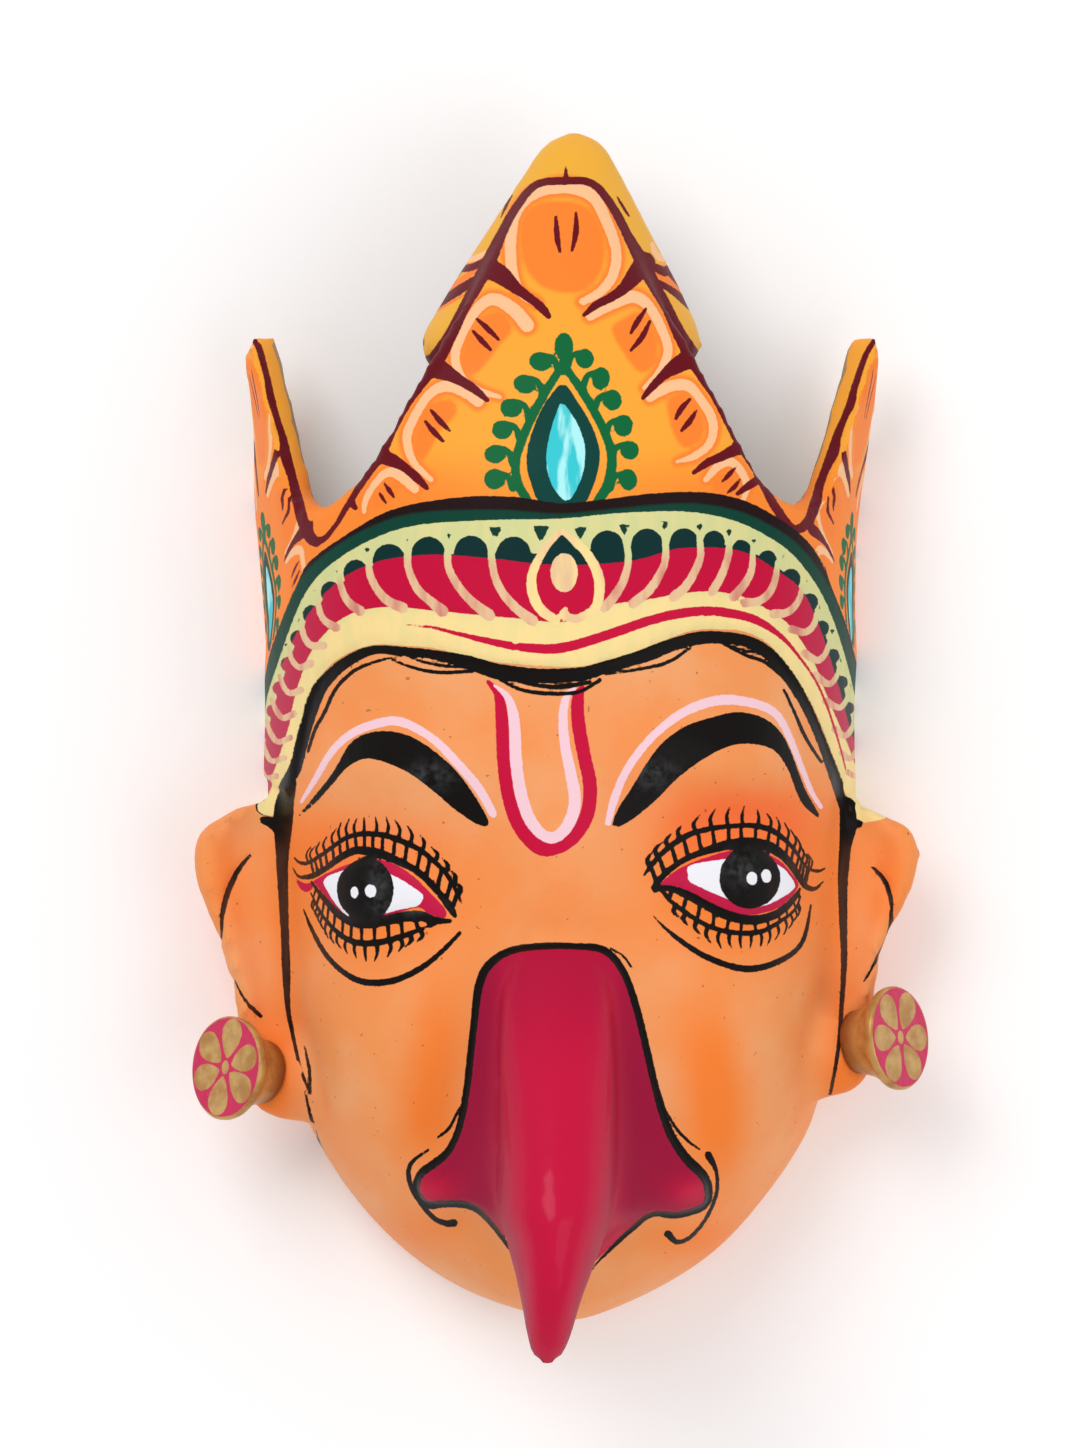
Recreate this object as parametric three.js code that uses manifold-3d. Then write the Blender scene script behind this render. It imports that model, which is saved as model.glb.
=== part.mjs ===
// A hand-made garuda mask: one painted papier-mache shell with a beak, ears and a pointed crown,
// and two studs glued to its ear lobes. It lies on its back rim.
// Millimetres. +X is the viewer's right, +Y runs up to the crown and +Z comes out of the face.
import * as THREE from "three";
import { mergeVertices } from "three/addons/utils/BufferGeometryUtils.js";
import Module from "manifold-3d";

const wasm = await Module();
wasm.setup();

// Driving sizes
const maskHeight = 304.8;      // beak tip to crown tip
const headWidth = 149;         // over the temples, ears left out
const headDepth = 90;          // back rim to forehead
const wallThickness = 4;       // papier-mache of the face
const crownThickness = 6.8;    // edges of the three crown leaves
const coneWall = 4;            // papier-mache of the crown's cone
const earringRadius = 13;
const earringLength = 13;
const earringRim = 2.5;        // straight edge of the flared stud
const earringNeck = 8;         // radius where the stud is glued on
const glueGap = 0.3;           // between a stud and its seat on the lobe
const seatMargin = 0.8;        // how far a seat stands out round the neck

// The free forms below are drawn on a head of this size and stretch with the driving sizes.
const drawnHeight = 304.8;
const drawnWidth = 149;
const drawnDepth = 90;
const alongX = headWidth / drawnWidth;
const alongY = maskHeight / drawnHeight;
const alongZ = headDepth / drawnDepth;

// Drawn places
const chinY = -147.1;
const crownBaseY = 45;         // the leaves rise from this height
const sectionPower = 2.3;      // roundness of the head's U-shaped section
const notchAngle = 49.8;       // degrees round the section, from the front
const sideTipAngle = 73.6;
const coneAxisZ = 44;
const coneBackZ = 32;          // the cone is open behind this plane
const leafRelief = 2;          // how far the front leaf stands out from the cone

// Steps of the surface
const bodyRows = 34;
const crownRows = 14;
const columnsRimToTip = 4;
const columnsTipToNotch = 6;
const columnsNotchToFront = 12;

const clamp = (value, low, high) => Math.min(Math.max(value, low), high);
const mix = (a, b, share) => a + (b - a) * share;
const radians = THREE.MathUtils.degToRad;

function smoothstep(low, high, value) {
  const t = clamp((value - low) / (high - low), 0, 1);
  return t * t * (3 - 2 * t);
}

// A smooth curve through [place, value] knots that never overshoots them
function through(knots) {
  const last = knots.length - 1;
  const secants = knots.slice(1).map(([x, v], i) => (v - knots[i][1]) / (x - knots[i][0]));
  const slopes = knots.map((knot, i) => {
    const before = secants[Math.max(i - 1, 0)];
    const after = secants[Math.min(i, last - 1)];
    return before * after > 0 ? (2 * before * after) / (before + after) : 0;
  });
  return (place) => {
    const x = clamp(place, knots[0][0], knots[last][0]);
    const next = knots.findIndex(([knotX], i) => i > 0 && knotX >= x);
    const i = next - 1;
    const span = knots[next][0] - knots[i][0];
    const t = (x - knots[i][0]) / span;
    const rise = knots[next][1] - knots[i][1];
    const a = slopes[i] * span - rise;
    const b = rise - slopes[next] * span;
    return knots[i][1] + t * rise + t * (1 - t) * (a * (1 - t) + b * t);
  };
}

// Outline of the head, drawn sizes: the chin is round, so it is smooth in the root of the height
const fromChin = (y) => Math.sqrt(Math.max(y - chinY, 0));
const throughFromChin = (knots) => {
  const curve = through(knots.map(([y, v]) => [fromChin(y), v]));
  return (y) => curve(fromChin(y));
};
const halfWidthAt = throughFromChin([
  [-147.1, 0], [-145.6, 8.6], [-139.5, 24.5], [-132, 36.6], [-120, 49], [-105, 59.8],
  [-97, 64], [-85, 67.4], [-60, 71], [-14, 74.3], [10, 73.9], [25, 74.8], [47, 76.1], [60, 76.9],
  [80, 78.8], [90, 80.9], [101, 82.7], [153, 83.5],
]);
const depthAt = throughFromChin([
  [-147.1, 24], [-145.6, 35], [-140, 50], [-132, 60], [-120, 68], [-105, 73], [-80, 77], [-50, 80.5],
  [-20, 85], [10, 88.5], [35, 90], [60, 90], [80, 88], [100, 84], [120, 72], [140, 61], [153, 52],
]);
const centreAt = through([
  [-147.1, 2.6], [-140, 0.7], [-100, 0.4], [-14, 0.3], [20, 0.6], [57, -0.2], [80, 1], [153, 1.5],
]);

// The angle round the section whose point has this x or this z at height y
const angleOfX = (x, y) => Math.asin(Math.pow(x / halfWidthAt(y), sectionPower / 2));
const angleOfZ = (z, y) => Math.acos(Math.pow(z / depthAt(y), sectionPower / 2));

// Top edge of the crown against the angle: front leaf, notch, side leaf and its fall to the back rim
const frontLeafEdge = [
  [4.4, 140], [7.5, 138.3], [13, 130], [18, 121.5], [24.5, 110], [29.5, 101], [33.2, 94], [40.5, 80.5],
  [46, 71], [51, 63],
];
const sideLeafEdge = [
  [51.5, 60.5], [46, 67], [38.5, 83], [32.5, 97],
];
const sideLeafBack = [
  [23.5, 97], [12.5, 83], [4, 68],
];
const crownTopAt = through([
  [0, 140.6],
  ...frontLeafEdge.map(([x, y]) => [angleOfX(x, y), y]),
  [radians(notchAngle), 57.2],
  ...sideLeafEdge.map(([z, y]) => [angleOfZ(z, y), y]),
  [radians(sideTipAngle), 102.3],
  ...sideLeafBack.map(([z, y]) => [angleOfZ(z, y), y]),
  [Math.PI / 2, 60],
]);

// The crown's cone, drawn sizes: radius at a height, and the lean of its axis to the right
const coneRadiusAt = through([
  [91, 29], [93, 31.6], [95.5, 34], [99, 35.2], [103, 34.2], [120, 24.6], [140, 13.2], [148, 8.4],
  [151.4, 4.2], [152.4, 0],
]);
const coneCentreAt = (y) => 0.75 + 0.065 * (y - 101);

// Gentle modelling of the face: [x, y, half-width, half-height, height of the swelling]
const swellings = [
  [-46, -36, 27, 18, -4.2], [46, -34, 27, 18, -4.2],       // sockets
  [-47.5, -37, 14, 9, 5.2], [47, -35, 14, 9, 5.2],         // eyes
  [-43, -6, 25, 8, 3.4], [42, -4, 25, 8, 3.4],             // brow ridges
  [0, -28, 11, 26, 4],                                     // bridge of the nose
  [-42, -78, 22, 24, 3.4], [42, -76, 22, 24, 3.4],         // cheeks
  [0, 22, 40, 22, 1.6],                                    // forehead
];
// Half-width of the beak's outline on the face, and the height of its flanks beside the ridge
const beakOutlineAt = through([
  [-131, 6], [-126, 11.5], [-121.5, 18], [-118, 28], [-115, 35.6], [-111.6, 36.3], [-108.2, 34.9],
  [-104, 30.8], [-98, 27], [-89, 24], [-79, 22], [-69, 20.3], [-60, 17.8], [-54, 12], [-51, 5],
]);
const flankHeightAt = through([
  [-131, 0], [-124, 9], [-116, 19], [-107, 19], [-95, 14.5], [-80, 9], [-65, 3.5], [-52, 0],
]);
const mouthRolls = [[-31.5, -111.5], [31.5, -112]];
const rollHeight = 2.2;
const rollRadius = 6;
const ridgeHalfWidth = 9;

function reliefAt(x, y) {
  let height = 0;
  for (const [cx, cy, rx, ry, swell] of swellings) {
    height += swell * Math.exp(-(((x - cx) / rx) ** 2) - ((y - cy) / ry) ** 2);
  }
  for (const [cx, cy] of mouthRolls) {
    height += rollHeight * Math.exp(-((x - cx) ** 2 + (y - cy) ** 2) / rollRadius ** 2);
  }
  const outline = beakOutlineAt(y);
  const slope = clamp((Math.abs(x) - ridgeHalfWidth) / Math.max(outline - ridgeHalfWidth, 1), 0, 1);
  return height + flankHeightAt(y) * (1 - slope) ** 1.7;
}

// A point of the outer surface, in real millimetres, at an angle round the section and a drawn height
function outerPoint(angle, y) {
  const side = Math.sign(angle);
  const sine = Math.pow(Math.abs(Math.sin(angle)), 2 / sectionPower);
  const cosine = Math.pow(Math.max(Math.cos(angle), 0), 2 / sectionPower);
  const x = centreAt(y) + side * halfWidthAt(y) * sine;
  const section = depthAt(y) * cosine;
  const facing = smoothstep(0, 0.35, cosine);
  const coneReach = Math.max(coneRadiusAt(y) ** 2 - (x - coneCentreAt(y)) ** 2, 0);
  const onCone = coneAxisZ + Math.sqrt(coneReach) + leafRelief;
  const frontLeaf = 1 - smoothstep(0.7, 0.85, Math.abs(angle));
  const z = mix(section, onCone, smoothstep(92, 122, y) * frontLeaf) + reliefAt(x, y) * facing;
  return new THREE.Vector3(x * alongX, y * alongY, z * alongZ);
}

// The wall thickens from the forehead up to the leaves
const thicknessAt = (y) => mix(wallThickness, crownThickness, smoothstep(20, 60, y));
const rimSharpness = 4;        // how quickly the wall's full depth is reached inside the back rim

// The matching point of the inner surface: nearer to the middle and further back by the wall
function innerPoint(angle, y) {
  const thickness = thicknessAt(y);
  const middle = centreAt(y) * alongX;
  const narrowing = 1 - thickness / (headWidth / 2);
  const raise = wallThickness * clamp((crownBaseY - y) / (crownBaseY - chinY), 0, 1);
  const point = outerPoint(angle, y);
  const swell = Math.max(reliefAt(point.x / alongX, y), 0) * smoothstep(0, 0.35, Math.cos(angle));
  const hollow = clamp(Math.cos(angle) * rimSharpness, 0, 1);
  return new THREE.Vector3(
    middle + (point.x - middle) * narrowing,
    point.y + raise,
    Math.max(point.z - (thickness + swell * alongZ) * hollow, 0),
  );
}

// Columns round the section, with one on each leaf's tip and each notch
function columnAngles() {
  const quarter = [];
  const stretch = (from, to, steps) => {
    for (let i = 0; i < steps; i += 1) quarter.push(mix(from, to, i / steps));
  };
  stretch(90, sideTipAngle, columnsRimToTip);
  stretch(sideTipAngle, notchAngle, columnsTipToNotch);
  stretch(notchAngle, 0, columnsNotchToFront);
  const left = quarter.map((degrees) => -degrees);
  return [...left, 0, ...quarter.reverse()].map(radians);
}

// Height of row j at an angle: level rows up to the crown, then rows that fan out to its top edge
function rowHeight(j, angle) {
  const share = j / bodyRows;
  if (share <= 1) return mix(chinY, crownBaseY, share ** 1.35);
  return mix(crownBaseY, crownTopAt(Math.abs(angle)), (j - bodyRows) / crownRows);
}

// A closed solid from a list of points and a list of triangles, turned to face out
function solidOf(points, triangles) {
  const geometry = new THREE.BufferGeometry();
  geometry.setAttribute("position", new THREE.Float32BufferAttribute(points.flatMap((p) => p.toArray()), 3));
  geometry.setIndex(triangles.flat());
  return solidOfGeometry(geometry);
}

function solidOfGeometry(source) {
  source.deleteAttribute("normal");
  source.deleteAttribute("uv");
  const geometry = mergeVertices(source, 1e-4);
  const position = geometry.getAttribute("position");
  const index = geometry.getIndex().array;
  const corner = (k) => new THREE.Vector3().fromBufferAttribute(position, k);
  const kept = [];
  let volume = 0;
  for (let t = 0; t < index.length; t += 3) {
    const [a, b, c] = [index[t], index[t + 1], index[t + 2]];
    if (a === b || b === c || c === a) continue;
    kept.push(a, b, c);
    volume += corner(a).dot(corner(b).cross(corner(c)));
  }
  if (volume < 0) kept.reverse();
  return new wasm.Manifold(new wasm.Mesh({
    numProp: 3,
    vertProperties: Float32Array.from(position.array),
    triVerts: Uint32Array.from(kept),
  }));
}

// The two triangles of each cell of a grid of point numbers
function gridTriangles(rows, columns, numberAt, flipped) {
  const triangles = [];
  for (let j = 0; j < rows; j += 1) {
    for (let i = 0; i < columns; i += 1) {
      const [a, b] = [numberAt(j, i), numberAt(j, i + 1)];
      const [c, d] = [numberAt(j + 1, i + 1), numberAt(j + 1, i)];
      triangles.push(flipped ? [a, c, b] : [a, b, c], flipped ? [a, d, c] : [a, c, d]);
    }
  }
  return triangles;
}

// The head and the three leaves: a fine outer surface, a plainer inner one and the edge between them
function makeShell() {
  const angles = columnAngles();
  const columns = angles.length - 1;
  const rows = bodyRows + crownRows;
  const points = [];
  for (let j = 0; j <= rows; j += 1) {
    for (const angle of angles) points.push(outerPoint(angle, rowHeight(j, angle)));
  }
  const innerStart = points.length;
  for (let j = 0; j <= rows; j += 2) {
    for (let i = 0; i <= columns; i += 2) points.push(innerPoint(angles[i], rowHeight(j, angles[i])));
  }
  const outer = (j, i) => j * (columns + 1) + i;
  const inner = (j, i) => innerStart + j * (columns / 2 + 1) + i;
  const triangles = [
    ...gridTriangles(rows, columns, outer, false),
    ...gridTriangles(rows / 2, columns / 2, inner, true),
  ];
  const edge = [];
  for (let j = 0; j < rows; j += 2) edge.push([outer(j, 0), outer(j + 1, 0), inner(j / 2, 0)]);
  for (let i = 0; i < columns; i += 2) edge.push([outer(rows, i), outer(rows, i + 1), inner(rows / 2, i / 2)]);
  for (let j = rows; j > 0; j -= 2) {
    edge.push([outer(j, columns), outer(j - 1, columns), inner(j / 2, columns / 2)]);
  }
  for (let i = columns; i > 0; i -= 2) edge.push([outer(0, i), outer(0, i - 1), inner(0, i / 2)]);
  edge.forEach(([start, half, insideStart], k) => {
    const [end, , insideEnd] = edge[(k + 1) % edge.length];
    triangles.push([start, half, insideStart], [half, insideEnd, insideStart], [half, end, insideEnd]);
  });
  return solidOf(points, triangles);
}

// A closed tube through rings of points, with a fan over each end
function makeLoft(rings) {
  const sides = rings[0].length;
  const points = rings.flat();
  const numberAt = (j, i) => j * sides + (i % sides);
  const triangles = gridTriangles(rings.length - 1, sides, numberAt, false);
  for (const [ring, flipped] of [[0, true], [rings.length - 1, false]]) {
    const middle = points.length;
    const centre = new THREE.Vector3();
    rings[ring].forEach((point) => centre.addScaledVector(point, 1 / sides));
    points.push(centre);
    for (let i = 0; i < sides; i += 1) {
      const [a, b] = [numberAt(ring, i), numberAt(ring, i + 1)];
      triangles.push(flipped ? [b, a, middle] : [a, b, middle]);
    }
  }
  return solidOf(points, triangles);
}

// The beak's ridge: [front y, front z, back y, back z, half-width, middle x] from its root to its tip
const beakStations = [
  [-50.5, 82, -50.5, 77, 5, -0.5], [-54, 86, -54, 76, 10.5, -0.5], [-62, 91, -62, 75, 12.8, -0.5],
  [-75, 99, -75, 75, 13.4, -0.3], [-90, 109, -90, 74, 13.6, -0.2], [-105, 117.5, -104, 72, 13.6, -0.4],
  [-116, 121.5, -114, 70, 13.2, -0.8], [-125, 122, -120, 68, 12.2, -1.2], [-133, 120, -126, 79, 9.8, -1.6],
  [-140.5, 116, -132, 88, 7.7, -2.2], [-147, 110.5, -139, 94, 5.9, -2.5], [-151, 106, -145, 97.5, 4.4, -2.8],
  [-152.4, 102.5, -149.5, 98.5, 2.4, -2.8],
];
const beakSides = 20;

function makeBeak() {
  const rings = beakStations.map(([frontY, frontZ, backY, backZ, halfWidth, middleX]) => {
    const ring = [];
    for (let i = 0; i < beakSides; i += 1) {
      const angle = (2 * Math.PI * i) / beakSides;
      const share = (1 + Math.cos(angle)) / 2;
      ring.push(new THREE.Vector3(
        (middleX + halfWidth * Math.sin(angle)) * alongX,
        mix(backY, frontY, share) * alongY,
        mix(backZ, frontZ, share) * alongZ,
      ));
    }
    return ring;
  });
  return makeLoft(rings);
}

// The cone that rises behind the front leaf, hollow and open behind
const coneHeights = [152.4, 151.4, 148, 140, 127, 113, 103, 99, 95.5, 91];
const coneSegments = 24;

function makeCone() {
  const outer = coneHeights.map((y) => new THREE.Vector2(coneRadiusAt(y), y));
  const inner = coneHeights.slice(2).reverse().map((y, k) => {
    const lift = k === 0 ? 0 : 0.4 * coneWall;
    return new THREE.Vector2(Math.max(coneRadiusAt(y) - coneWall, 0.8), y - lift);
  });
  const top = new THREE.Vector2(0, inner[inner.length - 1].y);
  const geometry = new THREE.LatheGeometry([...outer, ...inner, top], coneSegments);
  const position = geometry.getAttribute("position");
  for (let i = 0; i < position.count; i += 1) {
    const y = position.getY(i);
    position.setXYZ(
      i,
      (position.getX(i) + coneCentreAt(y)) * alongX,
      y * alongY,
      (position.getZ(i) + coneAxisZ) * alongZ,
    );
  }
  const keep = new THREE.BoxGeometry(3 * headWidth, 2 * maskHeight, 3 * headDepth);
  keep.translate(0, 0, coneBackZ * alongZ + 1.5 * headDepth);
  return solidOfGeometry(geometry).intersect(solidOfGeometry(keep));
}

// Ears: [y, outline x] from top to lobe, for the left and the right, as distances from the middle
const earOutlines = {
  left: [
    [-14, 72], [-16.8, 77], [-18.8, 84.6], [-22.6, 89.7], [-28, 91.9], [-33, 91.6], [-43, 87.9],
    [-58.8, 82.7], [-69, 80.4], [-80, 79.6], [-88, 78], [-93, 75], [-96, 66], [-97.5, 60],
  ],
  right: [
    [-14, 72], [-16.7, 76], [-19.3, 82], [-21.3, 87.4], [-25, 90.3], [-30, 91.1], [-38.5, 88.2],
    [-51, 82.5], [-61.9, 79.6], [-72, 79], [-81, 78.8], [-86, 77], [-89.5, 70], [-91, 62],
  ],
};
const earBackZ = 24;
const earThickness = 9;
const earRootDepth = 2;        // how far an ear's root sits inside the head's wall
const earRows = 14;
const earBackRise = 2.5;       // how far the ear's back comes forward at its rim
// Front of the ear from root to rim: [share of its width, height over the mean front]
const earFrontAt = through([[0, 2], [0.3, -1.5], [0.55, -2], [0.78, 1.5], [0.88, 2.4], [0.96, 1.2], [1, -1.5]]);
const earAcross = [0, 0.25, 0.5, 0.72, 0.87, 0.96, 1];

function makeEar(side, outline) {
  const reversed = [...outline].reverse();
  const edgeAt = through(reversed);
  const bottom = reversed[0][0];
  const top = outline[0][0];
  const rootAt = (y) => {
    const share = Math.pow((earBackZ + earThickness / 2) / depthAt(y), sectionPower);
    return halfWidthAt(y) * Math.pow(1 - share, 1 / sectionPower) - earRootDepth;
  };
  const rings = [];
  for (let j = 0; j <= earRows; j += 1) {
    const y = mix(bottom, top, 0.5 - 0.5 * Math.cos((Math.PI * j) / earRows));
    const root = rootAt(y);
    const edge = Math.max(edgeAt(y), root + 1);
    const swell = smoothstep(0, 12, edge - root);
    const at = (share, z) => new THREE.Vector3(side * mix(root, edge, share) * alongX, y * alongY, z * alongZ);
    const front = earAcross.map((share) => {
      const middle = earBackZ + earThickness * mix(0.75, 1, swell);
      return at(share, middle + earFrontAt(share) * swell);
    });
    const back = [...earAcross].reverse().map((share) => at(share, earBackZ + earBackRise * share * share * swell));
    rings.push([...front, ...back]);
  }
  return makeLoft(rings);
}

// Studs: where the middle of the face sits, and the way that it looks
const earrings = {
  earring_left: { centre: [-83.5, -82, 43.5], facing: [-0.725, 0.11, 0.68] },
  earring_right: { centre: [85.9, -74.5, 42.5], facing: [0.812, 0.11, 0.573] },
};
const earringSegments = 24;
const seatLength = 11;
const seatSpread = 3;          // how much wider a seat is where it meets the lobe

function lathe(profile, segments) {
  return new THREE.LatheGeometry(profile.map(([r, h]) => new THREE.Vector2(r, h)), segments);
}

// The pose of a stud: its own +Y looks along facing, and its origin is where it is glued on
function studPose({ centre, facing }) {
  const direction = new THREE.Vector3(...facing).normalize();
  const face = new THREE.Vector3(centre[0] * alongX, centre[1] * alongY, centre[2] * alongZ);
  return {
    turn: new THREE.Quaternion().setFromUnitVectors(new THREE.Vector3(0, 1, 0), direction),
    base: face.addScaledVector(direction, -earringLength),
  };
}

function makeSeat(stud) {
  const { turn, base } = studPose(stud);
  const radius = earringNeck + seatMargin;
  const seat = lathe([[0, -glueGap], [radius, -glueGap], [radius + seatSpread, -seatLength], [0, -seatLength]], 20);
  seat.applyQuaternion(turn);
  seat.translate(base.x, base.y, base.z);
  return solidOfGeometry(seat);
}

// A stud that flares from its neck to its rim; the room for it is the same form, larger by the gap
function makeStudGeometry(gap = 0) {
  const flare = through([[0, earringNeck], [0.55, 0.72 * earringRadius], [1, 0.97 * earringRadius]]);
  const rimStart = earringLength - earringRim;
  const profile = [[0, -gap]];
  for (const share of [0, 0.35, 0.7, 1]) {
    profile.push([flare(share) + gap, share * rimStart - gap]);
  }
  profile.push([earringRadius + gap, rimStart + 0.2 * earringRim - gap]);
  profile.push([earringRadius + gap, earringLength - 0.5]);
  profile.push([earringRadius - 0.6 + gap, earringLength + gap], [0, earringLength + gap]);
  return lathe(profile, earringSegments);
}

function makeStudRoom(stud) {
  const { turn, base } = studPose(stud);
  const room = makeStudGeometry(glueGap);
  room.applyQuaternion(turn);
  room.translate(base.x, base.y, base.z);
  return solidOfGeometry(room);
}

function geometryOf(solid) {
  const mesh = solid.getMesh();
  const geometry = new THREE.BufferGeometry();
  geometry.setAttribute("position", new THREE.BufferAttribute(mesh.vertProperties, 3));
  geometry.setIndex(new THREE.BufferAttribute(mesh.triVerts, 1));
  return geometry;
}

const paintedPaper = new THREE.MeshStandardMaterial({ color: 0xf5955a, roughness: 0.42, metalness: 0 });
const goldPaint = new THREE.MeshStandardMaterial({ color: 0xb98a4a, roughness: 0.5, metalness: 0.2 });

const garudaMask = new THREE.Group();

function makeMaskShell() {
  const forms = [
    makeCone(),
    makeBeak(),
    makeEar(-1, earOutlines.left),
    makeEar(1, earOutlines.right),
    ...Object.values(earrings).map(makeSeat),
  ];
  const whole = forms.reduce((joined, form) => joined.add(form), makeShell());
  const joined = Object.values(earrings).map(makeStudRoom).reduce((left, room) => left.subtract(room), whole);
  const mesh = new THREE.Mesh(geometryOf(joined), paintedPaper);
  mesh.name = "mask_shell";
  return mesh;
}

garudaMask.add(makeMaskShell());

for (const [name, stud] of Object.entries(earrings)) {
  const { turn, base } = studPose(stud);
  const mesh = new THREE.Mesh(geometryOf(solidOfGeometry(makeStudGeometry())), goldPaint);
  mesh.name = name;
  mesh.quaternion.copy(turn);
  mesh.position.copy(base);
  garudaMask.add(mesh);
}

// The middle of the mask's own box stands over the origin
const box = new THREE.Box3().setFromObject(garudaMask, true);
for (const mesh of garudaMask.children) mesh.position.x -= (box.min.x + box.max.x) / 2;

export default garudaMask;
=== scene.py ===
# A hand-painted papier-mache garuda mask, lying face up on a pale floor.
# Metres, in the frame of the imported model: +X to the viewer's right, +Y up to the crown, +Z out of the face.
import math

import bmesh
import bpy
import numpy as np
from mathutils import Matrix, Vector, noise
from mathutils.bvhtree import BVHTree


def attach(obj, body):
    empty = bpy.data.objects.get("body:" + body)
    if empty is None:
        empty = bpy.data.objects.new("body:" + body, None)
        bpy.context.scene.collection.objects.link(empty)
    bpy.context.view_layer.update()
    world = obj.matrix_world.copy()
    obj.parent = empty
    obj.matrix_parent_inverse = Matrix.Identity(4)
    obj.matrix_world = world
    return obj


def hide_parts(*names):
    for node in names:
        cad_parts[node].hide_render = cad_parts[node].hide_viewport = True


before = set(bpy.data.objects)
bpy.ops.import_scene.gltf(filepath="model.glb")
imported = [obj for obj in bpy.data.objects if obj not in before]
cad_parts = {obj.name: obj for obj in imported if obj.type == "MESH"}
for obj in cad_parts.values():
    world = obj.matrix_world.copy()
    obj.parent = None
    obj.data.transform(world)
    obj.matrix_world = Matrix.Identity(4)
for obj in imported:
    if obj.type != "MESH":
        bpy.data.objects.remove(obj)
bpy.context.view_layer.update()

MM = 0.001

# The view: straight down on the mask, from far enough to flatten it as a long lens does
PICTURE_WIDTH = 1086
PICTURE_HEIGHT = 1448
PIXEL = 0.000249                 # one picture pixel at the reference height, in metres
PIXEL_OF_ORIGIN = (560.5, 740.35)
REFERENCE_HEIGHT = 0.060
CAMERA_DISTANCE = 2.4            # above the reference height
CAMERA_X = (PICTURE_WIDTH / 2 - PIXEL_OF_ORIGIN[0]) * PIXEL
CAMERA_Y = (PIXEL_OF_ORIGIN[1] - PICTURE_HEIGHT / 2) * PIXEL

# The form
VOXEL = 0.0022
RELAX_ROUNDS = 45
INSIDE_SHARE = 0.62              # of the faces that are left when the inside is thinned
CONE_START_Y = 0.091
CONE_HALF_WIDTH = 0.042
CONE_AXIS_Z = 0.044
HEAD_AXIS_Z = 0.020
EAR_X, EAR_Y = 0.0725, (-0.1, -0.012)
LOBE_X, LOBE_Y = 0.0675, (-0.1, -0.055)
LEAF_EDGE_Y = 0.050              # above this the cut edges of the leaves are painted too
EDGE_TURN = 0.75                 # how far an edge may face inwards and still be painted

# Paint
FAR = 14.0                       # pixels from a stroke at which its distance stops counting
THIN = 3.4                       # half the width, in pixels, of the strokes that need the finest mesh
BODY = "root"


def add_object(name, mesh):
    piece = bpy.data.objects.new(name, mesh)
    bpy.context.scene.collection.objects.link(piece)
    return piece


def shade_smooth(mesh):
    mesh.polygons.foreach_set("use_smooth", [True] * len(mesh.polygons))


def finished_mesh(piece):
    """The piece's mesh with its modifiers applied, as a mesh of its own."""
    depsgraph = bpy.context.evaluated_depsgraph_get()
    return bpy.data.meshes.new_from_object(piece.evaluated_get(depsgraph))


def points_of(mesh):
    points = np.empty(len(mesh.vertices) * 3)
    mesh.vertices.foreach_get("co", points)
    return points.reshape(-1, 3)


def normals_of(mesh):
    normals = np.empty(len(mesh.vertices) * 3)
    mesh.vertex_normals.foreach_get("vector", normals)
    return normals.reshape(-1, 3)


def set_points(mesh, points):
    mesh.vertices.foreach_set("co", points.ravel())
    mesh.update()


def edges_of(mesh):
    edges = np.empty(len(mesh.edges) * 2, np.int64)
    mesh.edges.foreach_get("vertices", edges)
    return edges.reshape(-1, 2).T


def averaged(mesh, values, shares):
    """Values on the points, each moved by a share towards the mean of its neighbours, once for each share."""
    a, b = edges_of(mesh)
    count = len(values)
    neighbours = np.maximum(np.bincount(a, minlength=count) + np.bincount(b, minlength=count), 1)
    for share in shares:
        total = np.bincount(a, values[b], count) + np.bincount(b, values[a], count)
        values = values + share * (total / neighbours - values)
    return values


def relax(mesh, rounds):
    """Evens out a mesh without shrinking it: each round pulls the points in, then pushes them back out."""
    points = points_of(mesh)
    shares = [0.5, -0.53] * rounds
    set_points(mesh, np.stack([averaged(mesh, axis, shares) for axis in points.T], axis=1))


def rest_on_rim(mesh):
    """Keeps every point on or above the plane that the back rim lies on."""
    points = points_of(mesh)
    points[:, 2] = np.maximum(points[:, 2], 0)
    set_points(mesh, points)


def smoothstep(low, high, value):
    t = np.clip((value - low) / (high - low), 0, 1)
    return t * t * (3 - 2 * t)


def picture_places(points):
    """Where the camera sees each point, in pixels of the picture."""
    spread = CAMERA_DISTANCE / (CAMERA_DISTANCE + REFERENCE_HEIGHT - points[:, 2]) / PIXEL
    x = PICTURE_WIDTH / 2 + (points[:, 0] - CAMERA_X) * spread
    y = PICTURE_HEIGHT / 2 - (points[:, 1] - CAMERA_Y) * spread
    return np.stack([x, y], axis=1)


def make_camera():
    data = bpy.data.cameras.new("camera")
    data.sensor_fit = "VERTICAL"
    data.sensor_height = 36
    data.lens = data.sensor_height * CAMERA_DISTANCE / (PICTURE_HEIGHT * PIXEL)
    data.clip_end = 20
    camera = bpy.data.objects.new("camera", data)
    bpy.context.scene.collection.objects.link(camera)
    camera.location = (CAMERA_X, CAMERA_Y, REFERENCE_HEIGHT + CAMERA_DISTANCE)
    bpy.context.scene.camera = camera


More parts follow.
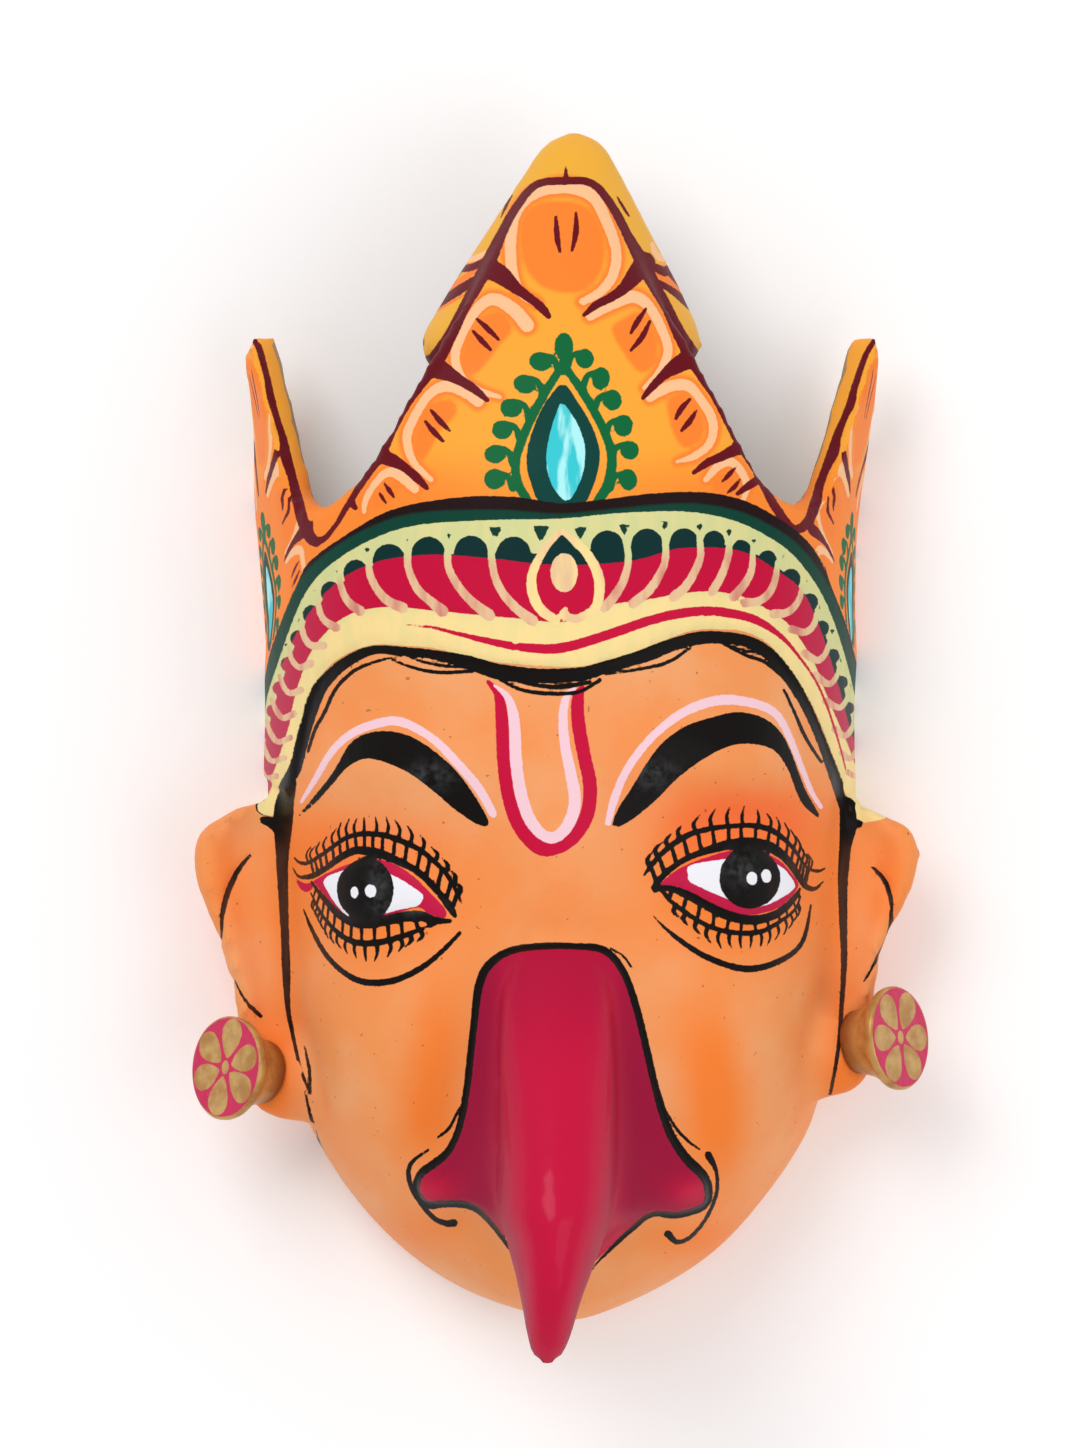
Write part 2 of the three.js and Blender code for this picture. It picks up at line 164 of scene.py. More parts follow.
# Free part of the beak, in metres: its underside, above which everything near the chin is beak
BEAK_UNDERSIDE_Y = [-0.150, -0.140, -0.132, -0.126, -0.120, -0.112]
BEAK_UNDERSIDE_Z = [0.082, 0.078, 0.075, 0.071, 0.065, 0.060]
FREE_BEAK_HALF_WIDTH = 0.0145
FREE_BEAK_TOP_Y = -0.119
CHIN_TOP_Y = -0.1195             # the free beak hides nothing above this
CHIN_HALF_WIDTH = 0.03
SIGHT_START = (0.0004, 0.001)    # a line of sight starts this far off the surface, then towards the camera
CREASE_FADE_Y = (-0.126, -0.112)
CREASE_ROUNDS = 40               # how far the creases beside the beak's ridge are filled


def on_free_beak(points):
    """True on the part of the beak that stands clear of the chin."""
    x, y, z = points.T
    under = np.interp(y, BEAK_UNDERSIDE_Y, BEAK_UNDERSIDE_Z)
    return (y < FREE_BEAK_TOP_Y) & (z > under) & (np.abs(x) < FREE_BEAK_HALF_WIDTH)


def behind_beak(mesh, points, normals):
    """True where the free part of the beak hides the chin from the camera."""
    off_surface, on_the_way = SIGHT_START
    rows = np.flatnonzero((points[:, 1] < CHIN_TOP_Y) & (np.abs(points[:, 0]) < CHIN_HALF_WIDTH))
    tree = BVHTree.FromPolygons(points.tolist(), [tuple(face.vertices) for face in mesh.polygons])
    camera = Vector((CAMERA_X, CAMERA_Y, REFERENCE_HEIGHT + CAMERA_DISTANCE))
    hidden = np.zeros(len(points), bool)
    for row in rows:
        start = Vector(points[row] + off_surface * normals[row])
        towards = (camera - start).normalized()
        hidden[row] = tree.ray_cast(start + on_the_way * towards, towards)[0] is not None
    return hidden


def faces_outside(points, normals):
    """True where a point is on the painted outside, false in the hollow of the head and of the cone."""
    x, y, z = points.T
    on_cone = (y > CONE_START_Y) & (np.abs(x) < CONE_HALF_WIDTH)
    axis_z = np.where(on_cone, CONE_AXIS_Z, HEAD_AXIS_Z)
    away = np.stack([x, z - axis_z], axis=1)
    away /= np.maximum(np.linalg.norm(away, axis=1), 1e-6)[:, None]
    outward = normals[:, 0] * away[:, 0] + normals[:, 2] * away[:, 1]
    leaf_edge = (y > LEAF_EDGE_Y) & (outward > -EDGE_TURN)
    on_ear = (np.abs(x) > EAR_X) & (y > EAR_Y[0]) & (y < EAR_Y[1])
    on_lobe = (np.abs(x) > LOBE_X) & (y > LOBE_Y[0]) & (y < LOBE_Y[1])
    return (outward > 0) | leaf_edge | on_ear | on_lobe | on_free_beak(points)


def fill_beak_creases(mesh):
    """Packs the creases between the beak's ridge and flanks, and leaves what stands out of them."""
    points = points_of(mesh)
    normals = normals_of(mesh)
    smoothed = np.stack([averaged(mesh, axis, [0.5] * CREASE_ROUNDS) for axis in points.T], axis=1)
    beak = Paint(len(points))
    beak.patch(Surface(picture_places(points), np.arange(len(points))), BEAK_SHAPE, steps=4)
    share = smoothstep(0, -10, beak.edge) * smoothstep(*CREASE_FADE_Y, points[:, 1])
    share *= faces_outside(points, normals)
    rise = np.maximum(((smoothed - points) * normals).sum(axis=1), 0) * share
    rise = averaged(mesh, rise, [0.5] * 4)
    set_points(mesh, points + normals * rise[:, None])


def make_moulded_shell():
    """The paper shell as moulded: the solid's own form with its facets and joints worn smooth."""
    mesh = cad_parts["mask_shell"].data.copy()
    bm = bmesh.new()
    bm.from_mesh(mesh)
    bmesh.ops.remove_doubles(bm, verts=bm.verts, dist=1e-6)
    bm.to_mesh(mesh)
    bm.free()
    rough = add_object("rough_shell", mesh)
    remesh = rough.modifiers.new("moulded", "REMESH")
    remesh.mode = "VOXEL"
    remesh.voxel_size = VOXEL
    even = finished_mesh(rough)
    relax(even, RELAX_ROUNDS)
    fill_beak_creases(even)
    rest_on_rim(even)
    rough.modifiers.clear()
    rough.data = even
    inside = ~faces_outside(points_of(even), normals_of(even))
    group = rough.vertex_groups.new(name="inside")
    group.add(np.flatnonzero(inside).tolist(), 1.0, "REPLACE")
    thin = rough.modifiers.new("thin", "DECIMATE")
    thin.ratio = INSIDE_SHARE
    thin.vertex_group = "inside"
    thinned = finished_mesh(rough)
    bpy.data.objects.remove(rough)
    return thinned


def refine(mesh, distance, reach):
    """Halves the edges of the faces whose points are nearer than the reach, on average."""
    bm = bmesh.new()
    bm.from_mesh(mesh)
    edges = {}
    for face in bm.faces:
        if sum(distance[v.index] for v in face.verts) < reach * len(face.verts):
            edges.update(dict.fromkeys(face.edges))
    bmesh.ops.subdivide_edges(bm, edges=list(edges), cuts=1, use_grid_fill=True)
    bm.to_mesh(mesh)
    bm.free()


# Brush work


def flowing(points, steps=6, closed=False):
    """A smooth path through given points; extra columns, such as widths, flow along."""
    knots = np.array(points, float)
    if closed:
        ends = (knots[-1:], knots[:2])
    else:
        ends = (2 * knots[:1] - knots[1:2], 2 * knots[-1:] - knots[-2:-1])
    padded = np.concatenate([ends[0], knots, ends[1]])
    t = np.linspace(0, 1, steps, endpoint=False)[:, None]
    spans = []
    for before, start, end, after in zip(padded, padded[1:], padded[2:], padded[3:]):
        curve = 2 * start + (end - before) * t
        curve += (2 * before - 5 * start + 4 * end - after) * t ** 2
        curve += (3 * start - before - 3 * end + after) * t ** 3
        spans.append(curve / 2)
    if not closed:
        spans.append(knots[-1:])
    return np.concatenate(spans)


class Surface:
    """A stretch of the mask to paint on: which points it has, and where they lie in the picture."""

    def __init__(self, places, rows, scale=1.0):
        self.places = places
        self.rows = rows
        self.scale = scale

    def near(self, path, margin):
        low = path.min(axis=0) - margin
        high = path.max(axis=0) + margin
        close = ((self.places > low) & (self.places < high)).all(axis=1)
        return np.flatnonzero(close)


class Paint:
    """One paint: each point's distance from its edge, in pixels, less than nothing where painted."""

    def __init__(self, count):
        self.edge = np.full(count, FAR)
        self.thin_edge = np.full(count, FAR)

    def lay(self, surface, close, distance, thin=False):
        rows = surface.rows[close]
        self.edge[rows] = np.minimum(self.edge[rows], distance * surface.scale)
        if thin:
            self.thin_edge[rows] = np.minimum(self.thin_edge[rows], distance * surface.scale)

    def stroke(self, surface, points, width=None, closed=False, steps=6):
        """A brush stroke along x, y points; a third column, or width, is how broad it is."""
        path = flowing(points, steps, closed)
        if closed:
            path = np.concatenate([path, path[:1]])
        half = path[:, 2] / 2 if path.shape[1] > 2 else np.full(len(path), width / 2)
        path = path[:, :2]
        close = surface.near(path, FAR + half.max())
        places = surface.places[close]
        nearest = np.full(len(close), FAR)
        nearest_thin = np.full(len(close), FAR)
        for start, end, half_start, half_end in zip(path, path[1:], half, half[1:]):
            along = end - start
            length = max(along @ along, 1e-9)
            share = np.clip((places - start) @ along / length, 0, 1)
            gap = np.linalg.norm(places - start - share[:, None] * along, axis=1)
            gap -= half_start + (half_end - half_start) * share
            nearest = np.minimum(nearest, gap)
            if min(half_start, half_end) < THIN:
                nearest_thin = np.minimum(nearest_thin, gap)
        self.lay(surface, close, nearest)
        self.lay(surface, close, nearest_thin, thin=True)

    def patch(self, surface, points, steps=6, smooth=True):
        """A filled shape inside a closed outline."""
        path = flowing(points, steps, closed=True) if smooth else np.array(points, float)
        close = surface.near(path, FAR)
        places = surface.places[close]
        nearest = np.full(len(close), FAR)
        inside = np.zeros(len(close), bool)
        for start, end in zip(path, np.roll(path, -1, axis=0)):
            along = end - start
            length = max(along @ along, 1e-9)
            share = np.clip((places - start) @ along / length, 0, 1)
            gap = np.linalg.norm(places - start - share[:, None] * along, axis=1)
            nearest = np.minimum(nearest, gap)
            if start[1] != end[1]:
                spans = (places[:, 1] < start[1]) != (places[:, 1] < end[1])
                crossing = start[0] + (places[:, 1] - start[1]) * along[0] / along[1]
                inside ^= spans & (places[:, 0] < crossing)
        self.lay(surface, close, np.where(inside, -nearest, nearest))

    def spot(self, surface, x, y, across, down=None, lean=0.0):
        """A filled ellipse, leaning by degrees."""
        down = down or across
        reach = max(across, down)
        close = surface.near(np.array([[x, y]]), reach + FAR)
        dx, dy = (surface.places[close] - (x, y)).T
        turn = math.radians(lean)
        u = (dx * math.cos(turn) + dy * math.sin(turn)) / across
        v = (dy * math.cos(turn) - dx * math.sin(turn)) / down
        radius = np.maximum(np.hypot(u, v), 1e-6)
        self.lay(surface, close, (radius - 1) * np.hypot(dx, dy) / radius, thin=reach < 2.5 * THIN)


# The places below are pixels of the picture, on the mask as it is seen from straight in front.

BAND_TOP = [
    (256, 811), (259, 780), (262, 740), (267, 699), (270.4, 675), (275.8, 647), (287.7, 614.4), (300.7, 584),
    (313.7, 560.2), (352.7, 532), (391.8, 510.4), (435, 500.6), (478.5, 496.3), (520, 497.5), (560, 503.5),
    (603.4, 499.5), (646.7, 494), (690, 491.9), (722.6, 495.2), (755, 506), (794, 532), (815.9, 558),
    (831, 595), (844, 629.6), (853.8, 666.5), (858, 697), (862, 740), (867, 784), (884, 811),
]
CREAM_TOP = [
    (258, 811), (261, 790), (264, 760), (267.1, 731.5), (272.5, 696.8), (281.2, 666.5), (294.2, 627.4),
    (311.6, 588.4), (337.6, 561.3), (381, 536.4), (424, 524.4), (500, 520), (560, 519), (614.2, 513.6),
    (679.3, 511.4), (722.6, 518), (755, 531), (787.7, 553.7), (815.9, 590.6), (833.2, 631.8), (846.2, 675),
    (853.8, 714), (857.5, 745), (861, 785), (882, 812),
]
HAIR_TOP = [
    (277, 815), (288, 795), (298, 760), (303, 742), (307, 718), (315, 692), (326, 671), (346, 655),
    (374, 644.8), (407, 645.9), (435, 648), (467.7, 656.7), (500, 662.5), (544, 666), (580, 666.5),
    (603.4, 661), (635.9, 651.3), (668.4, 638.3), (694.4, 630), (720, 629.5), (744.3, 632), (768, 644.8),
    (787.7, 670.8), (806, 697), (821, 727), (833, 759.7), (845, 797), (856, 821), (884, 819),
]
CRIMSON_FOOT = [
    (262, 803), (275, 778), (285, 750), (293, 725), (297.5, 701.2), (305, 676.2), (314.8, 651.3),
    (332, 629.6), (355, 613.3), (390.7, 606.8), (439.5, 611.2), (485, 615.5), (524, 619), (565, 622),
    (604.4, 606), (643.5, 600.3), (680.3, 593.4), (712.9, 591.7), (740, 597), (761.7, 608), (781.2, 621),
    (795.3, 638), (809.4, 662), (819, 686), (828.9, 709.8), (837.5, 729.3), (846, 750), (854, 775),
    (862, 800),
]
ARCHES = [
    (514, 555, 17), (472, 554, 17), (430, 555, 17), (391.5, 561, 16), (359, 573, 12.5), (334, 592, 10),
    (315, 614, 8.5), (302, 638, 7.5), (292, 664, 7), (284, 688, 6.5), (277.5, 711, 6), (272, 733, 5.5),
    (267, 754, 5), (263, 775, 4.5),
    (607, 549, 17), (646, 546, 16), (682.5, 544, 14.5), (712, 542.5, 11), (739, 549.5, 9), (764, 560, 9),
    (787, 579, 9.5), (806, 602, 8), (818, 628, 7), (829, 655.6, 6.5), (838, 682, 6), (845, 708, 5.5),
    (850, 731.5, 5), (855, 754, 4.5), (859, 775, 4.5),
]
BAND_GREEN = [
    (258, 800, 10), (264, 760, 14), (267.5, 731, 16), (273, 696.8, 18), (281.5, 666.5, 20),
    (294.5, 627.4, 22), (312, 588.4, 24), (338, 561.3, 24), (381, 536.4, 24), (424, 524.4, 24),
    (500, 520, 20), (560, 519, 10), (614, 513.6, 9), (679, 511.4, 16), (722.6, 518, 20), (755, 531, 22),
    (787.7, 553.7, 22), (815.9, 590.6, 20), (833.2, 631.8, 18), (846.2, 675, 16), (853.8, 714, 14),
    (858, 750, 12), (862, 800, 8),
]
DARK_FOOT = [
    (286, 664), (300, 634), (322, 600), (348.4, 576), (381, 561.3), (413.5, 556), (446, 554.8),
    (495.9, 559), (543.6, 564.6), (592.5, 564.6), (635.9, 560.2), (668.4, 550.5), (690, 547.6),
    (722.6, 548.3), (748.6, 554.8), (772.5, 570), (796.3, 588.4), (809.4, 612.3), (820.2, 640.5),
    (836, 690), (850, 740),
]
DIVIDERS = [
    [(492.6, 540, 7), (492.6, 562, 7), (499, 586, 8), (514, 606, 9), (533, 621, 11)],
    [(450.3, 540, 7), (449.2, 564.6, 7), (458, 584, 8), (473, 602, 9), (490, 615.5, 12)],
    [(410.2, 548, 7), (410.2, 566.7, 7), (419, 588.4, 8), (433, 602, 9), (444, 611, 12)],
    [(371.2, 560, 6), (373.3, 575.4, 7), (381, 590.6, 8), (391, 601, 9), (405, 607.9, 11)],
    [(342, 576, 6), (346.2, 592, 7), (353, 603, 8), (363.6, 611, 10)],
    [(321.3, 600, 5), (323.5, 612.3, 6), (329, 621, 7), (339.7, 627.4, 9)],
    [(305, 622, 5), (308, 636, 6), (315, 645, 7), (327, 645, 8)],
    [(293, 647, 4), (296.4, 660, 5), (304, 667, 6), (315, 663, 8)],
    [(284.4, 675, 4), (287.7, 686, 5), (294.2, 693, 6), (305, 690, 7)],
    [(277, 699, 4), (280.5, 709.8, 5), (287, 718, 6), (298, 714, 7)],
    [(271.5, 720.7, 4), (275, 733, 5), (282, 742, 5.5), (294, 738, 6)],
    [(267, 741, 4), (270, 752, 5), (276, 761, 5), (288, 758, 6)],
    [(262, 760, 4), (266, 770, 4), (271, 778, 5), (280, 776, 6)],
    [(625, 538, 7), (627.5, 560, 7), (623, 580, 8), (614, 596, 9), (604, 608, 10)],
    [(664, 536, 7), (664, 560, 7), (657.6, 576, 8), (648, 590.6, 9), (632, 604, 10)],
    [(697.7, 537, 6), (698.8, 556, 7), (692.3, 573.2, 8), (682.5, 588.4, 9), (672, 597, 10)],
    [(727, 537, 6), (726, 556, 7), (719.4, 575.4, 8), (710, 592, 9)],
    [(750, 548, 5), (749, 568.9, 6.5), (742, 584, 8), (731, 597, 9)],
    [(774, 562, 5), (771.5, 579.7, 6.5), (766, 592.7, 7.5), (756.2, 601, 8), (742, 603, 9)],
    [(798.5, 586, 5), (794.2, 601, 6), (784, 612, 7.5), (770, 614, 9)],
    [(813, 612, 5), (809.4, 625, 6), (800.7, 632, 7), (787, 629, 8)],
    [(825.6, 641, 4.5), (821.3, 653, 5.5), (813, 660, 7), (800, 653, 8)],
    [(835.4, 666, 4), (832, 677, 5), (824, 683.8, 6.5), (811, 675, 8)],
    [(845, 691, 4), (842, 701, 5), (835, 707.7, 6), (822, 701, 7.5)],
    [(851, 714, 4), (848.4, 727, 5), (841, 735.9, 6), (831, 729, 7)],
    [(856, 736, 4), (853, 749, 5), (846, 758.6, 5.5), (838, 753, 6)],
    [(860, 757, 4), (857, 768, 4.5), (851, 776, 5), (844, 772, 6)],
]
OGIVE = [
    [(561, 531, 5), (545, 549, 7), (533.5, 571, 9), (532, 589, 10), (539.5, 608, 10), (556, 621, 9)],
    [(562, 531, 5), (573, 540, 7), (586, 553, 9), (597, 573, 10), (599, 593, 10), (594, 609, 9),
     (578, 619, 8)],
]
OGIVE_FILL = [(561, 535), (574, 547), (588, 562), (594, 585), (590, 606), (575, 615), (556, 617), (541, 606),
              (535, 588), (538, 570), (549, 549)]
OGIVE_BUD = (564, 573, 13.5, 19.5)
CREAM_LINE = [
    (402, 625, 0.5), (413.5, 625.2, 1.5), (435, 627.4, 3), (456.8, 633, 4), (489.4, 641, 6.5),
    (522, 647, 8.5), (560, 648, 10), (603.4, 636, 9.5), (646.7, 621, 9.5), (679.3, 613.4, 9.5),
    (707.4, 611.2, 9.5), (733.5, 614.4, 9), (755, 621, 8), (776.8, 636, 5), (794, 655.6, 3),
    (811.5, 681, 2.5), (824.5, 710, 2.5), (836, 745, 2), (842, 770, 1.5),
]
GAPS = [
    (541, 535, 9), (496, 534, 7), (450.3, 536.5, 3), (409, 541, 2), (370, 551, 3.2), (340, 571, 2.2),
    (318, 592, 2), (302, 620, 1.8), (290, 645, 1.8), (580, 534, 7), (623.5, 530.5, 6), (663.6, 526.6, 5),
    (697.7, 528, 4.2), (727, 533, 3.8), (751, 541.8, 2.8), (779, 557, 2.5), (803, 580, 2.4),
    (815.5, 607, 2.8), (828, 632, 2.8), (837, 660, 2.4), (847, 686, 2.2), (853, 710, 2),
]
HAIR = [
    [(286, 790, 11), (292, 778, 10), (298, 765, 9), (303, 745, 9), (309, 722, 10), (316, 700, 12),
     (326, 681, 12), (347, 662, 11), (374, 650, 9), (407, 651.5, 9), (435, 655, 10), (467, 662, 14),
     (500, 672, 16), (540, 676, 15), (580, 674, 14), (603, 668, 13), (636, 658, 13), (668, 646, 13),
     (699, 638, 13), (729, 638, 12), (751, 643, 12), (768, 654, 12), (786, 676, 11), (803, 702, 10),
     (817, 730, 9), (828, 758, 9), (838, 788, 10), (847, 815, 12)],
    [(392, 660, 2), (418, 669, 3.5), (442, 672.5, 4), (472, 671, 4)],
    [(405, 655, 2), (424, 662, 3), (446, 666, 3.5), (470, 667, 3)],
    [(500, 680, 3), (522, 690, 4), (548, 693.5, 4.5), (578, 692, 4), (600, 680, 4)],
    [(504, 676, 3), (530, 684, 4), (560, 687, 5), (590, 682, 4)],
    [(606, 674, 3), (640, 669, 3.5), (668, 662, 4), (690, 648, 3)],
    [(612, 668, 3), (645, 661, 3.5), (668, 652, 3)],
    [(722, 643, 3), (745, 655, 3.5), (764, 662, 4), (785, 679, 4)],
    [(716, 641, 2), (738, 649, 3), (762, 655, 3), (782, 671, 3)],
    [(402, 656, 2), (378, 661, 3), (354, 671, 4), (336, 689, 4), (325, 712, 4), (315, 730, 4), (308, 752, 3)],
    [(783, 690, 3), (795, 715, 3.5), (806, 738, 4), (822, 762, 3)],
]
FACE_SIDE = [
    [(292, 782, 10), (285, 800, 18), (283, 822, 20), (283, 840, 16), (283, 868, 12), (285, 932, 8.5),
     (286, 967, 8.5), (287.5, 1006, 5.5), (292, 1032, 4), (301, 1070, 3.2), (310, 1094, 3)],
    [(304, 1046, 2), (309, 1070, 3.2), (310, 1094, 3)],
    [(305, 1092, 2), (311, 1118, 3.6), (318, 1141, 3.6), (326, 1158, 2.5)],
    [(263, 820, 8), (272, 823, 11), (280, 830, 10)],
    [(846, 800, 14), (848, 824, 18), (845, 845, 13), (842.5, 880, 10.5), (843, 920, 8.5), (844, 960, 6.5),
     (842, 1000, 5), (838, 1050, 4), (831, 1090, 3.6), (827, 1102, 3)],
    [(852, 822, 10), (860, 824, 7)],
]
EAR_FOLDS = [
    [(251.2, 854, 3), (238, 871, 5), (226.6, 898, 6), (221, 922.7, 5), (218.8, 942, 1.5)],
    [(231.6, 980, 1.5), (241.4, 996, 3.5), (262, 1016, 4.5)],
    [(871, 865, 3), (885, 883, 5), (892, 909, 5.5), (891, 936, 5.5), (878, 961, 4.5), (863, 982, 2)],
]
TILAK_CRIMSON = [
    (488, 682, 4), (498, 694, 9), (502, 720, 13), (504, 760, 14), (509, 795, 15), (519, 825, 15),
    (537, 846, 15), (552, 849, 14), (572, 838, 14), (587, 815, 14), (590, 785, 14), (584, 755, 13.5),
    (578, 720, 13.5), (578, 698, 12), (582, 688, 6),
]
TILAK_PINK = [
    (494, 685, 2), (508, 698, 7), (514, 720, 11), (516, 760, 12), (521, 795, 12), (530, 820, 12),
    (543, 835, 11), (556, 837, 11), (569, 823, 12), (575, 800, 12), (570, 770, 11), (565, 745, 10),
    (563, 715, 9), (567, 696, 7), (575, 688, 3),
]
BROW_LEFT = [
    (298, 816), (332, 774), (353, 741), (381, 731), (412, 737), (444, 759), (466, 783), (488, 820),
    (481, 826), (458, 812), (433, 791), (407, 772), (381, 761), (364, 759), (347, 768), (332, 785),
    (314, 804),
]
BROW_RIGHT = [
    (613, 827), (617, 811), (632, 787), (656, 750), (682, 728), (713, 717), (739, 712), (765, 719),
    (782, 735), (793, 757), (805, 788), (820, 817), (806, 808), (797, 793), (787, 768), (773, 750),
    (752, 744), (730, 746), (704, 759), (678, 778), (656, 800), (630, 821),
]
BROW_LINES = [
    [(301, 802, 3), (316, 778, 6), (332, 752, 7), (353, 733, 8), (381, 722.5, 9), (403, 722.5, 9),
     (433, 739, 8), (459, 765, 9), (479, 789, 9), (493, 814, 8)],
    [(608, 823, 6), (614, 800, 8), (628, 768, 8), (654, 735, 8), (687, 710.5, 9), (721, 700, 10),
     (752, 703, 9), (774, 713, 8), (787, 733, 7), (800, 763, 6), (812, 792, 5), (821, 807, 4)],
]
# Each eye: its outline, iris, highlights and strokes; lashes are thin and close at the outer corner
EYES = {
    "left": {
        "opening": [(314.8, 881), (342, 867), (368, 859), (378, 859), (395, 864), (414, 876), (431.4, 893),
                    (446, 909), (445, 918), (430, 914), (419, 907), (400, 912), (384, 916), (368, 921),
                    (351, 918), (336, 906), (324, 893), (318, 885)],
        "white": [(326.9, 879.8), (341, 872), (368, 866), (395, 875.7), (410, 884), (424, 894.5), (419, 905),
                  (400, 909), (384.5, 913), (368, 917), (351, 916), (341, 907), (332, 893)],
        "iris": (367.8, 889, 27.6, 31),
        "lights": [(357.4, 891.8, 3.8, 5.7, -4), (373.1, 890.4, 5.5, 6.6, -8)],
        "corner": [(297, 879), (305, 883), (313, 883), (313, 889), (306, 892), (300, 887)],
        "upper_lid": [(293.4, 867.7, 1), (300, 876.5, 3), (313.5, 875.7, 6), (326.9, 868, 6), (340, 858, 7),
                      (353.7, 851, 8), (367, 851, 9), (381.8, 854.3, 9), (397.9, 861, 8), (414, 869, 7),
                      (427.4, 879.8, 7), (440.8, 894.5, 7), (450, 906.5, 8), (455, 915.5, 5)],
        "upper_crease": [(294.7, 857.6, 1.5), (300, 862.3, 3), (308, 863, 4), (320, 856, 4),
                         (333.6, 846.3, 4.5), (344.3, 838.8, 5), (355, 835, 5), (367, 833.7, 5.5),
                         (381.8, 834.9, 6), (394, 838.2, 6), (407.3, 843.6, 6), (420.7, 850.3, 5.5),
                         (434, 861, 5), (444.8, 871.7, 5), (452.8, 883.8, 4.5), (458, 894.5, 4),
                         (462, 904, 1.5)],
        "lower_lid": [(313, 882, 3), (324.2, 897.2, 6), (336.3, 910.6, 8), (349.7, 920, 9), (365.7, 923, 11),
                      (384.5, 920.5, 11), (400.6, 917, 11), (420.7, 916, 11), (434, 920, 8), (450, 921, 5)],
        "lower_crease": [(311.5, 893, 1.5), (318.8, 907.9, 3), (325.5, 918.6, 3.5), (336.3, 930.7, 5),
                         (349.7, 940, 6), (365.7, 943.4, 6.5), (384.5, 941.4, 6.5), (400.6, 936.7, 6),
                         (414, 932, 5), (430, 926, 2)],
        "under_arc": [(304, 909.2, 1.5), (312, 929.3, 4), (324.2, 952, 5), (340.3, 969.5, 5.5),
                      (360.4, 981, 6.5), (381.8, 982.6, 7), (400.6, 978.5, 6.5), (422, 967.5, 6),
                      (440.8, 952.5, 5), (460, 933, 4)],
    },
    "right": {
        "opening": [(660.8, 883.8), (674.2, 871), (690.3, 863), (710.4, 856), (723.8, 852), (750.6, 848),
                    (777.4, 859.7), (790, 873), (797, 885), (788, 899), (774.7, 909), (750.6, 915),
                    (731.8, 912), (710.4, 904), (690.3, 893), (674.2, 886)],
        "white": [(688.9, 865.5), (719.8, 859.7), (750, 857), (778.7, 866.4), (792, 882.4), (789.4, 890.5),
                  (765.3, 904), (748, 906), (726.5, 898.5), (690.3, 882.4), (687.6, 877)],
        "iris": (748, 877.5, 29.8, 30.5),
        "lights": [(750.2, 878.2, 5.2, 6.5, -6), (764.2, 875.8, 4.8, 6.6, -6)],
        "corner": [(659, 883), (668, 880), (680, 884), (672, 888), (662, 888)],
        "upper_lid": [(654, 889, 8), (658, 881, 6), (670.2, 869, 6), (683.6, 860, 6), (699.7, 853, 7),
                      (717, 847.6, 9), (734.5, 843.6, 10), (753.2, 842.9, 11), (770.7, 847.6, 11),
                      (784, 857, 9), (793.4, 869, 8), (800, 879.8, 7), (806.8, 887.2, 6), (814.9, 888.5, 4),
                      (822.2, 881.8, 1.5)],
        "upper_crease": [(643.4, 875.7, 2), (651.4, 865, 5), (660.8, 854.3, 5.5), (674.2, 843.6, 6),
                         (690.3, 834.2, 6), (710.4, 828.8, 5.5), (730.5, 826.2, 5), (750.6, 825.5, 5.5),
                         (768, 828.8, 6), (781.4, 836.9, 5.5), (793.4, 848.9, 4), (801.5, 861, 3),
                         (808, 868.5, 3), (817.5, 871, 3.5), (824.2, 868.5, 1.5)],
        "lower_lid": [(654, 889, 8), (662, 887.8, 6), (674.2, 889.5, 7), (690.3, 896.5, 9), (705, 904.5, 9),
                      (721, 912.5, 10), (737.2, 918, 10), (753.2, 920, 10), (770.7, 916.5, 9), (784, 908, 8),
                      (794.8, 896, 6), (799, 889, 3)],
        "lower_crease": [(668.8, 899.8, 4), (680.9, 909.2, 5), (697, 920, 5), (713, 928, 5),
                         (730.5, 932, 5), (748, 933.3, 5.5), (764, 930.7, 5), (780, 921.3, 4),
                         (793.4, 910.6, 3), (800, 897, 2)],
        "under_arc": [(650, 912.6, 1), (663.5, 926.6, 3), (679.6, 940, 5), (699.7, 953.4, 6),
                      (723.8, 964, 6.5), (745.2, 968.8, 7), (764, 966.8, 6.5), (784, 958.8, 6),
                      (798.8, 946.7, 5), (805.5, 930.7, 4), (810.2, 905.2, 2)],
    },
}
# Lashes: which crease they stand on, how many, how long in pixels and where along it they start; then the
# strokes between lids and creases
LASHES = [("upper_crease", 18, 16, 0.13), ("lower_crease", 16, -15, 0.04)]
LADDERS = [("upper_lid", "upper_crease", 18, 0.16), ("lower_lid", "lower_crease", 14, 0.04)]
CROWDING = 1.4
BEAK_SHAPE = [
    (541, 947.6), (600, 950), (618.7, 966), (630.4, 989), (639, 1018.7), (648.5, 1057.6), (657.7, 1099),
    (669.3, 1133.5), (685.4, 1158.8), (701.5, 1174.9), (707, 1188.5), (703.9, 1204.6), (676, 1213.9),
    (651, 1212.6), (632.4, 1227.5), (598, 1259), (592, 1268), (584, 1281), (573.4, 1313.4), (566, 1336),
    (563, 1350), (549, 1357), (536, 1350), (526.8, 1313.4), (519.9, 1268.9), (511, 1250), (490.2, 1218.3),
    (471.7, 1203.4), (428.4, 1202.2), (418, 1188.5), (420.3, 1174.9), (432.8, 1165.7), (448.9, 1152),
    (460, 1126.7), (467.3, 1092.2), (471.7, 1057.6), (475.4, 1023), (478.6, 989), (487.8, 968), (508, 953),
]
